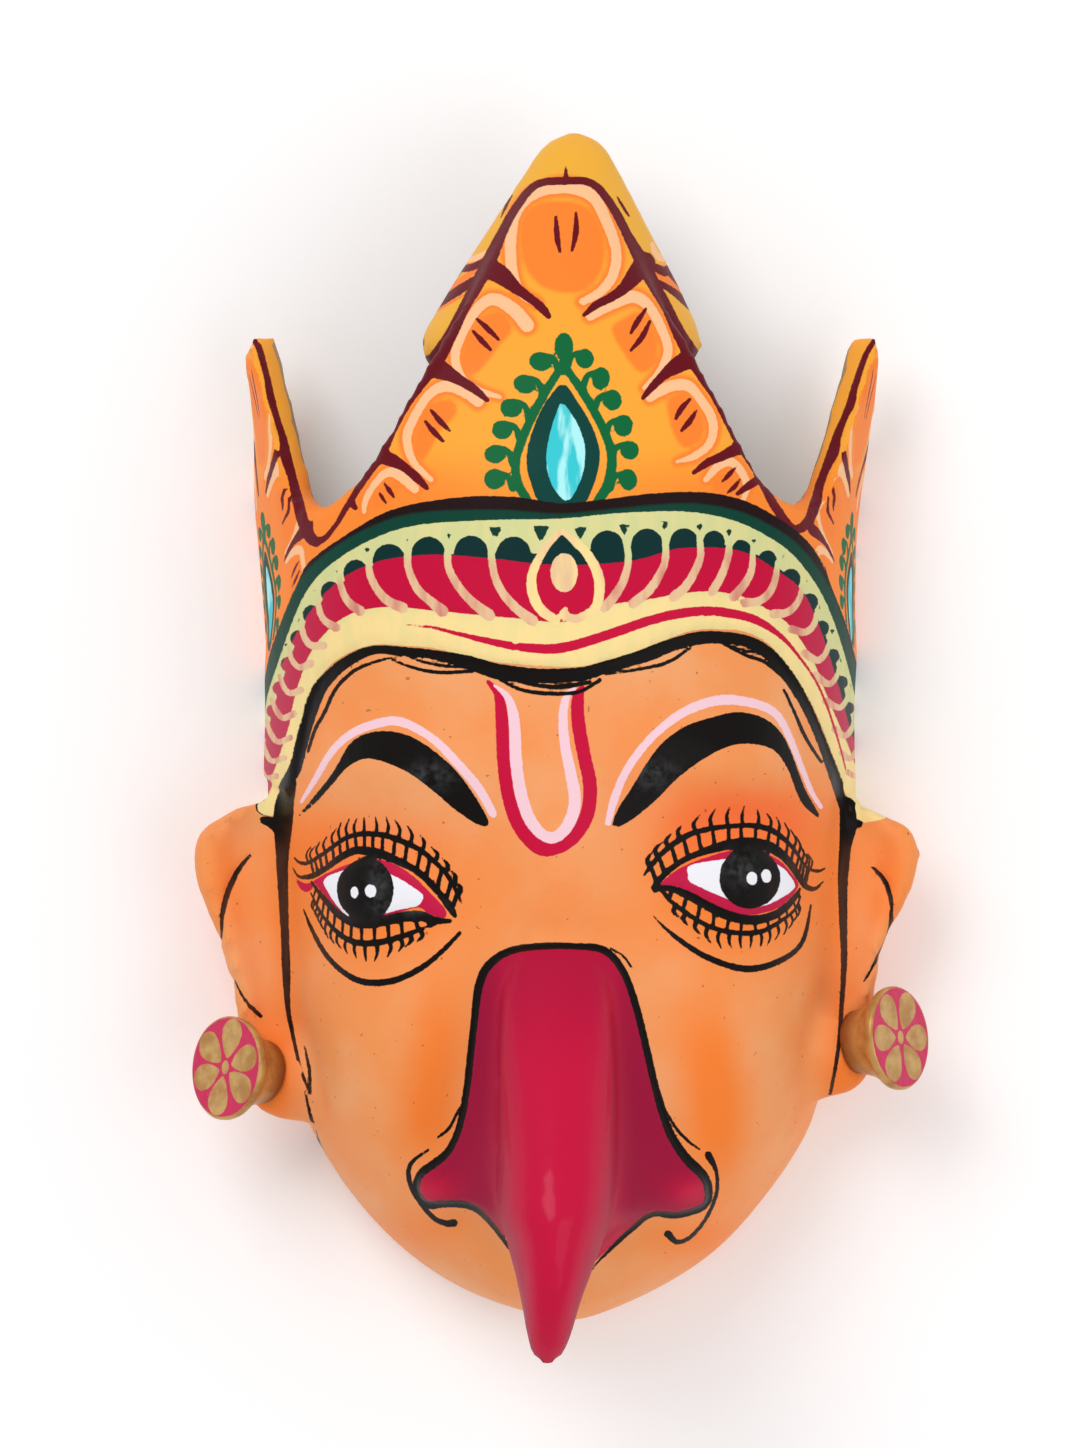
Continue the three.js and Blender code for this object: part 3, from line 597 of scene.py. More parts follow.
BEAK_LINES = [
    [(522, 1262, 1), (511, 1250, 3), (490, 1220, 7), (471, 1205, 9), (445, 1203, 9), (428, 1204, 10),
     (417, 1190, 10), (421, 1174, 9), (434, 1164, 9), (449, 1151, 9), (460, 1127, 9), (467, 1092, 9),
     (471, 1058, 9), (475, 1023, 9), (479, 989, 10), (488, 967, 10), (509, 952, 9), (541, 947, 9),
     (575, 947, 8), (602, 950, 9), (619, 966, 9), (630, 989, 9), (639, 1019, 9), (648, 1058, 9),
     (657.5, 1099, 9), (669, 1133, 10), (685, 1158, 11), (701, 1174, 11), (707, 1189, 11), (703, 1205, 10),
     (677, 1214, 9), (652, 1213, 8), (633, 1228, 6), (600, 1260, 2.5), (592, 1270, 1)],
    [(610, 948, 2), (624, 957, 2.5), (633, 970, 2)],
    [(650, 1054, 2), (658, 1088, 3), (666, 1114, 3.4)],
    [(430, 1149, 2), (414, 1160, 4), (408, 1172, 5), (413, 1192, 5), (430, 1215, 5), (444, 1223, 6),
     (454, 1223, 8)],
    [(708, 1155, 8), (716, 1172, 4), (716, 1195, 4), (705, 1220, 4), (690, 1237, 4), (677, 1242, 5),
     (668, 1234, 8)],
    [(664, 1108, 2), (676, 1128, 3.4), (688, 1141, 3), (699, 1149, 2)],
    [(437, 1138, 2.5), (449, 1128, 3.4), (459, 1108, 2)],
]
MAROON_EDGE = [
    (318.5, 542, 9), (328.4, 537, 6), (339, 523, 5), (346.8, 509, 6), (366.5, 476, 8), (380, 455, 11),
    (392, 431, 9), (405.8, 404.7, 10), (421, 381, 14), (436, 360, 17), (450, 336, 13), (464.7, 306.5, 11),
    (478, 283, 13), (489.2, 262, 14), (502, 234, 10), (516, 208, 9), (536, 185, 8), (565, 181, 8),
    (593, 184, 8), (614, 209, 9), (628, 236, 10), (641.5, 261, 14), (653, 284, 13), (666, 306.5, 11),
    (679, 333, 13), (690.6, 353, 16), (704, 377, 13), (715.2, 396, 10), (734.8, 434.2, 11), (746, 455, 10),
    (756, 474, 8), (766.7, 498, 8), (779, 518, 9), (789, 529, 9), (798, 528, 9),
]
# The same dark line where it follows the side leaves' edges, on the left and on the right
SIDE_LEAF_LINES = [
    [(251, 333, 5), (256, 342, 6.5), (260.2, 352, 6.6), (266.8, 376.4, 6.6), (270.1, 394, 8),
     (276.7, 418.2, 6.6), (283.3, 440.2, 8), (285.5, 455.6, 11), (292.1, 477.6, 9), (298, 501.8, 11),
     (304.2, 523.8, 12), (312, 537, 12), (318.5, 542, 10)],
    [(876, 334, 5), (873, 342, 5.5), (866, 354.4, 6), (859.4, 372, 6.6), (853.9, 389.6, 7), (851, 402.8, 9),
     (844, 418.2, 7), (837, 435.8, 9), (833, 451.2, 12), (825.3, 468.8, 9), (819, 486.4, 9), (816, 502, 11),
     (808.8, 517.2, 10), (798, 528, 9)],
]
LEAF_HOOKS = [
    [(488, 268, 20), (501, 275, 19), (516, 288, 12), (531, 299, 9), (542, 308, 9), (548.4, 316, 6)],
    [(430, 366, 22), (443, 371, 18), (458, 379, 11), (474, 389, 9), (487, 400, 5)],
    [(384, 457, 15), (394, 461, 13), (406, 468, 9), (418, 478, 9), (428, 488, 5)],
    [(645, 262, 20), (636, 274, 18), (624, 288, 12), (610, 298, 9), (596, 305, 8), (584, 315, 4)],
    [(690, 358, 20), (676, 366, 16), (664, 375, 10), (653, 386, 8), (643, 398, 4)],
    [(745, 447, 14), (734, 450, 12), (720, 457, 9), (706, 463, 8), (692, 473, 4)],
    [(760, 478, 9), (748, 485, 8), (735, 494, 4)],
    [(352, 502, 8), (357, 508, 5)],
]
LOBES = [
    [(537, 303, 8), (520, 292, 9), (512, 270, 11), (511, 240, 11), (517, 212, 10), (535, 193, 12),
     (565, 186, 15), (592, 196, 12), (606, 220, 11), (616, 250, 10), (613, 275, 10), (600, 292, 9),
     (582, 302, 7)],
    [(527, 325, 14), (514, 310, 13), (494, 299, 12), (478, 308, 10), (463, 332, 9), (455, 356, 9),
     (462, 378, 8), (478, 390, 7), (500, 397, 4)],
    [(590, 316, 9), (612, 303, 13), (634, 297, 12), (650, 308, 10), (664, 334, 9), (668, 352, 9),
     (660, 372, 8), (644, 388, 4)],
    [(478, 401, 12), (466, 392, 12), (446, 386, 11), (428, 396, 9), (412, 422, 9), (407, 440, 9),
     (414, 462, 7), (432, 480, 5)],
    [(650, 398, 8), (668, 387, 11), (686, 385, 11), (698, 396, 9), (712, 420, 9), (710, 442, 8),
     (694, 456, 7), (676, 462, 3)],
    [(416, 489, 9), (404, 478, 10), (390, 472, 9), (377, 482, 7), (367, 500, 6), (366, 512, 4)],
    [(704, 480, 5), (718, 465, 9), (730, 462, 9), (740, 472, 8), (745, 486, 7), (740, 502, 4)],
]
LOBE_RIM = 8                     # deeper orange round each peach stroke
LOBE_FILLS = [
    [(525, 215), (545, 202), (580, 204), (600, 225), (604, 262), (585, 290), (550, 290), (528, 272),
     (520, 240)],
    [(480, 318), (500, 312), (512, 328), (500, 345), (478, 372), (464, 372), (462, 350)],
    [(620, 320), (642, 312), (656, 335), (656, 362), (640, 372), (622, 350), (612, 330)],
    [(430, 404), (452, 400), (456, 414), (440, 432), (424, 460), (414, 448), (418, 424)],
    [(668, 400), (688, 394), (702, 414), (702, 438), (684, 448), (672, 430)],
    [(384, 484), (400, 482), (400, 492), (384, 508), (374, 506)],
    [(712, 480), (728, 472), (736, 484), (728, 500), (712, 496)],
]
LEAF_DASHES = [
    [(556, 216, 3), (557, 236, 6), (560, 252, 3)], [(576, 213, 3), (576, 232, 6), (572, 251, 3)],
    [(477, 319, 3), (488, 329, 6), (499, 340, 3)], [(473, 331, 3), (482, 341, 6), (491, 350, 3)],
    [(646, 309, 3), (637, 322, 6), (631, 333, 3)], [(650, 321, 3), (642, 337, 6), (631, 350, 3)],
    [(431, 410, 3), (440, 421, 6), (450, 431, 3)], [(425, 421, 3), (434, 432, 6), (444, 442, 3)],
    [(690, 399, 3), (681, 409, 6), (675, 420, 3)], [(696, 411, 3), (689, 422, 6), (681, 431, 3)],
    [(385, 483, 2), (391, 491, 5), (396, 498, 2)], [(381, 493, 2), (384, 498, 4), (388, 503, 2)],
    [(735, 467, 2), (728, 474, 5), (720, 482, 2)], [(739, 479, 2), (732, 487, 5), (725, 493, 2)],
]
CONE_MARKS = [
    [(566, 167, 2), (566, 178, 5)],
    [(512, 195, 1), (506, 206, 3), (501, 218, 1)], [(503, 197, 1), (498, 208, 3), (493, 219, 1)],
    [(617, 196, 1), (622, 205, 3), (629, 216, 2)],
    [(492, 257, 6), (476, 266, 7), (462, 268.5, 7), (454, 262, 4)],
    [(462, 268, 6), (452, 276, 10), (442, 288, 8), (434, 300, 4)],
    [(484, 275, 8), (466, 286, 9), (450, 296, 9), (436, 305, 8), (426, 316, 5), (422, 332, 4), (423, 345, 2)],
    [(642, 262, 6), (656, 268, 8), (666, 272, 9), (672, 264, 4)],
    [(666, 270, 8), (676, 276, 12), (686, 290, 10), (693, 300, 5)],
    [(654, 280, 5), (672, 291, 7), (688, 305, 7), (700, 318, 5), (704, 332, 3)],
]
CONE_EDGES = [
    [(452, 256, 3), (459, 266, 4), (468, 266, 4), (486, 258, 3)],
    [(481, 267, 6), (460, 281, 6), (444, 291, 5), (430, 303, 4)],
    [(466, 294, 2), (446, 305, 3), (430, 314, 3)],
    [(648, 262, 3), (662, 267, 4), (670, 264, 4), (672, 252, 3)],
    [(652, 273, 6), (668, 281, 6), (684, 293, 5), (698, 306, 4)],
]
CONE_LOBES = [
    [(461, 252, 4), (466, 258, 6), (474, 259, 6), (488, 252, 4)],
    [(652, 244, 4), (656, 254, 6), (662, 259, 6), (666, 250, 4)],
]
CONE_SHOWING = [(536, 184), (504, 232), (478, 283), (440, 350), (430, 372), (405, 372), (405, 300),
                (500, 110), (630, 110), (725, 300), (725, 372), (702, 372), (690, 350), (653, 284),
                (628, 236), (593, 184), (565, 180)]
JEWEL = [(563, 384), (578, 402), (592, 426), (599, 447.5), (599, 465), (594, 483), (584, 504), (563, 510),
         (540.5, 504), (529.6, 479), (526.6, 461), (528.6, 443.5), (536.5, 420), (547, 400)]
JEWEL_LENS = [(562.2, 403), (574, 418), (583, 437.6), (585, 457.4), (581, 479), (568, 501), (554, 489),
              (547.4, 471), (546.4, 453.4), (550.4, 431.7), (556, 414)]
JEWEL_STEM = [
    (529, 503, 9), (518, 483, 9), (515.8, 463.3, 9), (520.7, 443.5, 9), (530.6, 419.8, 9), (544.4, 394, 9),
    (558, 372, 8), (563, 364, 8), (569, 372.3, 8), (584, 394, 9), (597.8, 417.8, 9), (607.7, 439.6, 9),
    (611.7, 459.3, 10), (608, 483, 10), (597, 503, 10),
]
BUDS_LEFT = [
    (540.5, 361.5, 11.5, 9.5, 15), (524.7, 384.2, 11.5, 9.5, 15), (511, 408, 11, 9.5, 12),
    (502, 430, 10.5, 9.5, 8), (495, 454.4, 10.5, 9.5, 4), (495, 479.5, 10.5, 10.5, 0),
]
BUDS_RIGHT = [
    (585, 358.5, 9, 10, 0), (600.8, 378.3, 9, 11.5, 10), (612.6, 400, 9.5, 10.5, 0),
    (623.5, 425.7, 10, 11, 0), (629.5, 450.4, 9.5, 9.5, 0), (627.5, 480, 9, 11, 0),
]
TOP_BUD = (564, 346, 9.5, 13.5, 0)


def ordered_rows(path, upper):
    """An outline between an upper curve, left to right, and a lower one."""
    return list(upper) + path[::-1]


PAINTS = [
    "crown", "ochre", "lobe", "cone_edge", "peach", "maroon", "stem", "jewel", "lens",
    "band", "band_green", "cream", "arch", "arch_dark", "divider", "ogive", "line", "gap",
    "tilak", "tilak_pink", "brow_pink", "beak", "eye_red", "eye_white", "black", "eye_light",
]
WALL_X, WALL_Y = 62, (-110, -5)  # the head's side walls by the ears, in millimetres
WALL_LINE_Z = 31                 # lines beside the face don't run back past this depth
WALL_FADE = 4
ABOVE_CROWN = [(900, 770), (1200, 770), (1200, -200), (-100, -200), (-100, 770), (225, 770)]


def paint_leaf(paints, leaf):
    """The scalloped lobes, hooks and jewel that all three leaves of the crown carry."""
    for outline in LOBE_FILLS:
        paints["lobe"].patch(leaf, outline)
    for path in LOBES:
        paints["peach"].stroke(leaf, path)
        paints["lobe"].stroke(leaf, [(x, y, broad + LOBE_RIM) for x, y, broad in path])
    for path in LEAF_HOOKS + LEAF_DASHES:
        paints["maroon"].stroke(leaf, path)
    paints["stem"].stroke(leaf, JEWEL_STEM)
    paints["stem"].spot(leaf, *TOP_BUD)
    paints["stem"].stroke(leaf, [(564, 352, 8), (564, 370, 10)])
    for buds, inward in ((BUDS_LEFT, 1), (BUDS_RIGHT, -1)):
        for x, y, across, down, lean in buds:
            paints["stem"].spot(leaf, x, y, across, down, lean)
            hook = [(x + 2 * inward, y - 7, 5), (x + 13 * inward, y - 3, 6), (x + 18 * inward, y + 9, 8)]
            paints["stem"].stroke(leaf, hook, steps=3)
    paints["jewel"].patch(leaf, JEWEL)
    paints["lens"].patch(leaf, JEWEL_LENS)


def paint_band(paints, front):
    """The band over the forehead: cream with crimson arches, dividers, a middle ogive and a crimson line."""
    paints["band"].patch(front, ordered_rows(HAIR_TOP, BAND_TOP), steps=3)
    paints["cream"].patch(front, ordered_rows(HAIR_TOP, CREAM_TOP), steps=3)
    spine = [(x, y) for x, y, radius in sorted(ARCHES)]
    paints["arch"].patch(front, ordered_rows(CRIMSON_FOOT, spine), steps=3)
    paints["arch"].patch(front, OGIVE_FILL)
    for x, y, radius in ARCHES:
        paints["arch"].spot(front, x, y, radius, radius * 1.08)
    paints["arch_dark"].patch(front, ordered_rows(DARK_FOOT, CREAM_TOP[5:-4]), steps=3)
    paints["band_green"].stroke(front, BAND_GREEN)
    for path in DIVIDERS:
        paints["divider"].stroke(front, path)
    for path in OGIVE:
        paints["ogive"].stroke(front, path)
    paints["ogive"].spot(front, *OGIVE_BUD)
    paints["ogive"].stroke(front, [(567, 608, 4), (563, 615, 8), (574, 619, 8)])
    paints["line"].stroke(front, CREAM_LINE)
    for x, y, size in GAPS:
        paints["gap"].patch(front, [(x - size, y - size), (x + size, y - size), (x, y + size)], smooth=False)


def from_outer_corner(points, outer_is_left):
    """A stroke's smooth path as x, y points that starts at the eye's outer corner."""
    path = flowing(points, steps=10)[:, :2]
    return path if outer_is_left else path[::-1]


def crowded(i, count, first):
    """Where along an eye its mark number i stands: close at the outer corner, further apart near the nose."""
    return first + (0.98 - first) * ((i + 0.5) / count) ** CROWDING


def lashes(paints, front, path, count, reach, first, middle_x):
    """Short curved strokes on a crease that lean to the middle; reach is down where it is negative."""
    for i in range(count):
        share = crowded(i, count, first)
        x, y = path[int(share * (len(path) - 1))]
        length = reach * (0.85 + 0.3 * math.sin(math.pi * share)) * (1 + 0.1 * math.sin(5.3 * i))
        inward = math.tanh((middle_x - x) / 25)
        broad = 1.7 + 3.4 * share
        bend = (x - 2.4 * inward, y - length * 0.5, broad)
        tip = (x + (1.5 + 2.5 * share) * inward + math.sin(2.1 * i), y - length, 1.2)
        paints["black"].stroke(front, [(x, y, broad + 0.6), bend, tip], steps=3)


def ladder(paints, front, inner, outer, count, first, middle_x):
    """The short strokes between a lid's edge and its crease, fanned out from the eye's middle."""
    for i in range(count):
        share = crowded(i, count, first)
        start = inner[int(share * (len(inner) - 1))]
        fanned = start[0] + (start[0] - middle_x) * 0.07
        end = outer[np.abs(outer[:, 0] - fanned).argmin()]
        broad = 1.9 + 2.6 * share
        paints["black"].stroke(front, [(*start, broad + 1), (*end, broad)], steps=1)


def paint_eye(paints, front, eye, outer_is_left):
    """One painted eye, its lids, creases and lashes."""
    paints["eye_red"].patch(front, eye["opening"])
    paints["eye_red"].patch(front, eye["corner"])
    paints["eye_white"].patch(front, eye["white"])
    paints["black"].spot(front, *eye["iris"])
    for part in ("upper_lid", "upper_crease", "lower_lid", "lower_crease", "under_arc"):
        paints["black"].stroke(front, eye[part])
    for light in eye["lights"]:
        paints["eye_light"].spot(front, *light)
    middle_x = eye["iris"][0]
    for crease, count, reach, first in LASHES:
        lashes(paints, front, from_outer_corner(eye[crease], outer_is_left), count, reach, first, middle_x)
    for lid, crease, count, first in LADDERS:
        inner = from_outer_corner(eye[lid], outer_is_left)
        outer = from_outer_corner(eye[crease], outer_is_left)
        ladder(paints, front, inner, outer, count, first, middle_x)


def paint_face(paints, front):
    """The hair line, the lines of the ears and beak, the forehead mark, the brows and the eyes."""
    for path in HAIR + FACE_SIDE + EAR_FOLDS + BEAK_LINES:
        paints["black"].stroke(front, path)
    paints["tilak"].stroke(front, TILAK_CRIMSON)
    paints["tilak_pink"].stroke(front, TILAK_PINK)
    paints["black"].patch(front, BROW_LEFT)
    paints["black"].patch(front, BROW_RIGHT)
    for path in BROW_LINES:
        paints["brow_pink"].stroke(front, path)
    paint_eye(paints, front, EYES["left"], True)
    paint_eye(paints, front, EYES["right"], False)


# A side leaf: the depth of its middle line, and how far it and its design reach from there at each height
SIDE_LEAF_Z = 28
SIDE_LEAF_HEIGHTS = [20, 57, 60.5, 67, 83, 97, 102.3]
SIDE_LEAF_REACH = [44, 40, 33, 26.5, 13.5, 6, 2.5]
DESIGN_HEIGHTS = [182, 210, 257, 306, 356, 405, 444, 476, 520]
DESIGN_REACH = [14, 48, 74, 99, 126, 155, 175, 195, 215]
LEVEL_HEIGHTS = [20, 25, 58.6, 102.3]
LEVEL_IN_DESIGN = [520, 500, 328, 182]
CORNER_X, CORNER_SHARE = 74, 0.75
SIDE_CORNER = 0.5                # how far a side leaf's surface turns outwards where its cut edge begins
SIDE_LEAF_X, SIDE_LINE_X = 52, 45
SIDE_FOOT_Y, SIDE_NOTCH_Y = 10, 58


def side_leaf_places(points):
    """Where a point of a side leaf lies on the leaf's design, as if the leaf were laid flat in front."""
    x, y, z = points.T / MM
    # Distance along the outside from the leaf's middle line: mostly depth, then round the corner of the head
    across = (z - SIDE_LEAF_Z) + CORNER_SHARE * np.maximum(CORNER_X - np.abs(x), 0)
    up = np.interp(y, LEVEL_HEIGHTS, LEVEL_IN_DESIGN)
    reach_here = np.interp(y, SIDE_LEAF_HEIGHTS, SIDE_LEAF_REACH)
    reach_in_design = np.interp(up, DESIGN_HEIGHTS, DESIGN_REACH)
    return np.stack([565 + across / reach_here * reach_in_design, up], axis=1)


def paint_side_leaf(paints, points, rows, front):
    """The outer face carries the leaf's design, the cut edge is plain, and a dark line parts them."""
    leaf_places = side_leaf_places(points[rows])
    paint_leaf(paints, Surface(leaf_places, rows, scale=0.6))
    behind = points[rows][:, 2] / MM < SIDE_LEAF_Z
    back = Surface(leaf_places[behind], rows[behind], scale=0.6)
    paints["maroon"].stroke(back, [p for p in MAROON_EDGE if 400 < p[0] < 730])
    for path in SIDE_LEAF_LINES:
        paints["maroon"].stroke(front, path)


def paint_everything(mesh):
    """Every paint's distance on each point of the mesh, by name."""
    points = points_of(mesh)
    normals = normals_of(mesh)
    outside = faces_outside(points, normals)
    places = picture_places(points)
    paints = {name: Paint(len(points)) for name in PAINTS}
    whole = Surface(places, np.arange(len(points)))
    x, y, z = points.T / MM
    on_side_leaf = outside & (y > SIDE_FOOT_Y) & (np.abs(x) > SIDE_LEAF_X)
    on_side_leaf &= places[:, 1] < np.interp(places[:, 0], *zip(*BAND_TOP))
    rest = np.flatnonzero(~on_side_leaf)
    front = Surface(places[rest], rest)
    paints["crown"].patch(whole, BAND_TOP[2:-2] + ABOVE_CROWN, smooth=False)
    paints["ochre"].patch(whole, CONE_SHOWING, smooth=False)
    paint_leaf(paints, front)
    for path in CONE_MARKS:
        paints["maroon"].stroke(front, path)
    for path in CONE_LOBES:
        paints["peach"].stroke(front, path)
    for path in CONE_EDGES:
        paints["cone_edge"].stroke(front, path)
    paints["maroon"].stroke(whole, MAROON_EDGE)
    for side in (-1, 1):
        turned_out = (side * normals[:, 0] > SIDE_CORNER) | (y < SIDE_NOTCH_Y)
        on_face = on_side_leaf & (side * x > 0) & turned_out
        front_rows = np.flatnonzero(outside & (side * x > SIDE_LINE_X) & (z > SIDE_LEAF_Z - 2))
        front_half = Surface(places[front_rows], front_rows)
        paint_side_leaf(paints, points, np.flatnonzero(on_face), front_half)
    paint_band(paints, whole)
    paint_face(paints, whole)
    paints["beak"].patch(whole, BEAK_SHAPE, steps=4)
    free = on_free_beak(points)
    paints["beak"].edge[free] = -FAR
    paints["black"].edge[free] = FAR
    on_wall = (np.abs(x) > WALL_X) & (y > WALL_Y[0]) & (y < WALL_Y[1])
    past_line = (WALL_LINE_Z - z[on_wall]) * WALL_FADE
    paints["black"].edge[on_wall] = np.maximum(paints["black"].edge[on_wall], past_line)
    chin = averaged(mesh, (behind_beak(mesh, points, normals) & ~free).astype(float), [0.5] * 8)
    paints["beak"].edge = np.maximum(paints["beak"].edge, (chin - 0.5) * 10)
    return paints, outside


def put_attribute(mesh, name, values):
    attribute = mesh.attributes.new(name, "FLOAT", "POINT")
    attribute.data.foreach_set("value", np.asarray(values, np.float32))


# Deeper orange, partly airbrushed paint and partly painted shade in the eye sockets, beside and under the
# beak, in the ears and along their joins with the face: middle x, y, half-width, half-height and strength
BLUSHES_AND_SHADE = [
    (385, 905, 100, 66, 1.0), (330, 840, 60, 40, 0.6), (735, 850, 110, 62, 1.0), (735, 920, 95, 50, 0.8),
    (436, 1050, 34, 70, 0.9), (424, 1125, 34, 50, 0.75), (704, 1045, 34, 60, 0.6), (718, 1125, 34, 80, 1.0),
    (560, 905, 45, 50, 0.35), (430, 1228, 46, 26, 0.7), (694, 1240, 52, 26, 0.8), (560, 735, 170, 40, 0.35),
    (262, 1070, 26, 70, 0.8), (858, 1080, 24, 60, 0.8),
    (330, 720, 60, 60, 0.3), (225, 880, 20, 60, 0.5), (893, 890, 20, 60, 0.6), (262, 1090, 30, 50, 0.9),
    (856, 1096, 30, 40, 0.9), (286, 960, 14, 120, 0.5), (838, 960, 14, 120, 0.5),
]
# Redder still over the eyes: partly paint and partly painted shade under the brows
FLUSHES_AND_SHADE = [
    (738, 812, 72, 27, 0.95), (792, 850, 26, 42, 0.5), (688, 845, 30, 26, 0.5), (380, 842, 64, 27, 0.4),
    (328, 868, 24, 30, 0.35),
]
# Painted sheen: a grey painted reflection on the thick black paint
SHEENS = [
    (381, 886, 10, 24, 1), (738, 868, 16, 16, 1), (418, 908, 26, 7, 1), (430, 775, 22, 12, 1),
    (655, 775, 20, 14, 1),
]
# Brighter crimson where the flanks roll round at the corners of the mouth: the painted shade is left off
# there, as a painted highlight on the rolls
ROLLS = [(434, 1188, 24, 14), (690, 1190, 24, 14)]
FLANK_X, FLANK_Y, ROOT_Y = (7, 19), (-128, -116), (-84, -56)


def flank_shade(points, normals):
    """Painted shade: darker crimson on the beak's flanks, root and steep sides, none on its ridge or its
    rolled corners.
    """
    x, y = points[:, 0] / MM, points[:, 1] / MM
    beside = smoothstep(*FLANK_X, np.abs(x + 0.5)) * smoothstep(*FLANK_Y, y)
    steep = 0.8 * smoothstep(0.6, 0.15, normals[:, 2])
    root = 0.5 * smoothstep(*ROOT_Y, y)
    shade = np.max([beside, steep, root], axis=0)
    u, v = picture_places(points).T
    for cx, cy, rx, ry in ROLLS:
        shade = shade * (1 - np.exp(-((u - cx) / rx) ** 2 - ((v - cy) / ry) ** 2))
    return shade


def cloudy(x, y, clouds):
    """The sum of soft ovals at places of the picture."""
    total = np.zeros(len(x))
    for middle_x, middle_y, across, down, strength in clouds:
        total += strength * np.exp(-((x - middle_x) / across) ** 2 - ((y - middle_y) / down) ** 2)
    return total


def add_paint(mesh):
    """Stores every paint and every soft shade on the mesh's points, for the material to read."""
    paints, outside = paint_everything(mesh)
    for name, paint in paints.items():
        put_attribute(mesh, name, paint.edge)
    put_attribute(mesh, "outside", averaged(mesh, outside.astype(float), [0.5, 0.5]))
    x, y = picture_places(points_of(mesh)).T
    for name, clouds in (("blush_and_shade", BLUSHES_AND_SHADE), ("flush_and_shade", FLUSHES_AND_SHADE), ("sheen", SHEENS)):
        put_attribute(mesh, name, np.clip(cloudy(x, y, clouds), 0, 1))
    put_attribute(mesh, "deep", smoothstep(435, 500, y) * (1 - 0.5 * np.exp(-((x - 565) / 90) ** 2)))
    put_attribute(mesh, "side", smoothstep(190, 300, np.abs(x - 560)))
    put_attribute(mesh, "flank_painted_shade", flank_shade(points_of(mesh), normals_of(mesh)))
    below_crimson = y - np.interp(x, *zip(*CRIMSON_FOOT))
    put_attribute(mesh, "low_band", smoothstep(-14, 10, below_crimson))
    put_attribute(mesh, "ear_line", smoothstep(832, 862, y) * smoothstep(200, 260, np.abs(x - 560)))


# How near an edge of paint, a thin stroke and a lash the mesh is made finer, in pixels
NEAR_EDGE = 3.9
NEAR_THIN = 1.35
NEAR_LASH = 1.0
LASH_CORNERS = [(322, 876, 44, 60), (794, 876, 44, 60)]


def refine_for_paint(mesh):
    """Makes the mesh finer along the edges of paint, and again along thin strokes and the closest lashes."""
    paints, outside = paint_everything(mesh)
    nearest = np.min([np.abs(paint.edge) for paint in paints.values()], axis=0)
    refine(mesh, nearest + FAR * ~outside, NEAR_EDGE)
    relax(mesh, 2)
    paints, outside = paint_everything(mesh)
    nearest = np.min([paint.thin_edge for paint in paints.values()], axis=0)
    refine(mesh, nearest + FAR * ~outside, NEAR_THIN)
    paints, outside = paint_everything(mesh)
    x, y = picture_places(points_of(mesh)).T
    at_corner = np.zeros(len(x), bool)
    for cx, cy, rx, ry in LASH_CORNERS:
        at_corner |= np.hypot((x - cx) / rx, (y - cy) / ry) < 1
    refine(mesh, paints["black"].thin_edge + FAR * ~(outside & at_corner), NEAR_LASH)


# Relief: how far paint-bound forms stand out or lie back, in metres
BAND_RISE = 0.0011
BEAK_RISE = 0.0009
BEAK_RISE_Y = (-0.125, -0.114)   # none below, on the free part
BEAK_LEFT_X = (-0.004, -0.011)
BEAK_NARROWER = 0.0008           # how far the free part's left side lies in
FOLD_DEPTH = 0.0007
EYE_RISE = 0.0008
UNEVEN = 0.00035


def carve(mesh):
    """The low forms that follow the paint: the crown's step over the forehead, the eyes and the ear folds."""
    points = points_of(mesh)
    normals = normals_of(mesh)
    outside = faces_outside(points, normals)
    places = picture_places(points)
    count = len(points)
    whole = Surface(places, np.arange(count))
    crown, beak, folds = Paint(count), Paint(count), Paint(count)
    crown.patch(whole, HAIR_TOP[1:-1] + ABOVE_CROWN, steps=3)
    beak.patch(whole, BEAK_SHAPE, steps=4)
    for path in EAR_FOLDS:
        folds.stroke(whole, path)
    above_band = np.interp(places[:, 0], *zip(*BAND_TOP)) - places[:, 1]
    height = BAND_RISE * smoothstep(2, -4, crown.edge) * (1 - smoothstep(-10, 70, above_band))
    height += BEAK_RISE * smoothstep(2, -5, beak.edge) * smoothstep(*BEAK_RISE_Y, points[:, 1])
    height -= FOLD_DEPTH * smoothstep(5, -2, folds.edge)
    for eye in EYES.values():
        opening = Paint(count)
        opening.patch(whole, eye["opening"])
        height += EYE_RISE * smoothstep(6, -9, opening.edge)
    height += UNEVEN * np.array([noise.noise(Vector(point) * 38) for point in points])
    height *= averaged(mesh, outside.astype(float), [0.5, 0.5])
    points += normals * height[:, None]
    left_side = smoothstep(*BEAK_LEFT_X, points[:, 0]) * on_free_beak(points)
    points[:, 0] += BEAK_NARROWER * averaged(mesh, left_side, [0.5] * 6)
    set_points(mesh, points)
    rest_on_rim(mesh)


make_camera()
shell_mesh = make_moulded_shell()
refine_for_paint(shell_mesh)
add_paint(shell_mesh)
carve(shell_mesh)
shell = add_object("mask", shell_mesh)
shade_smooth(shell.data)
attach(shell, BODY)
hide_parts("mask_shell")


# Ear studs: the way that each face looks, and how far its first petal is turned from the top, in degrees
STUDS = {"earring_left": ((-0.725, 0.11, 0.68), 10), "earring_right": ((0.812, 0.11, 0.573), 30)}
STUD_RADIUS = 0.013
STUD_LENGTH = 0.013
STUD_PROFILE = [          # radius and height over the glued end, in metres
    (0.0080, 0.0), (0.0082, 0.0015), (0.0087, 0.0036), (0.0094, 0.0058), (0.0106, 0.0080), (0.0120, 0.0099),
    (0.0128, 0.0107), (0.01305, 0.0114), (0.01305, 0.0123), (0.0127, 0.0129),
]
STUD_SEGMENTS = 112
STUD_FACE_RINGS = 30
STUD_SCALE = 0.00025      # the face's painting is drawn in steps of this size
PETALS = 6


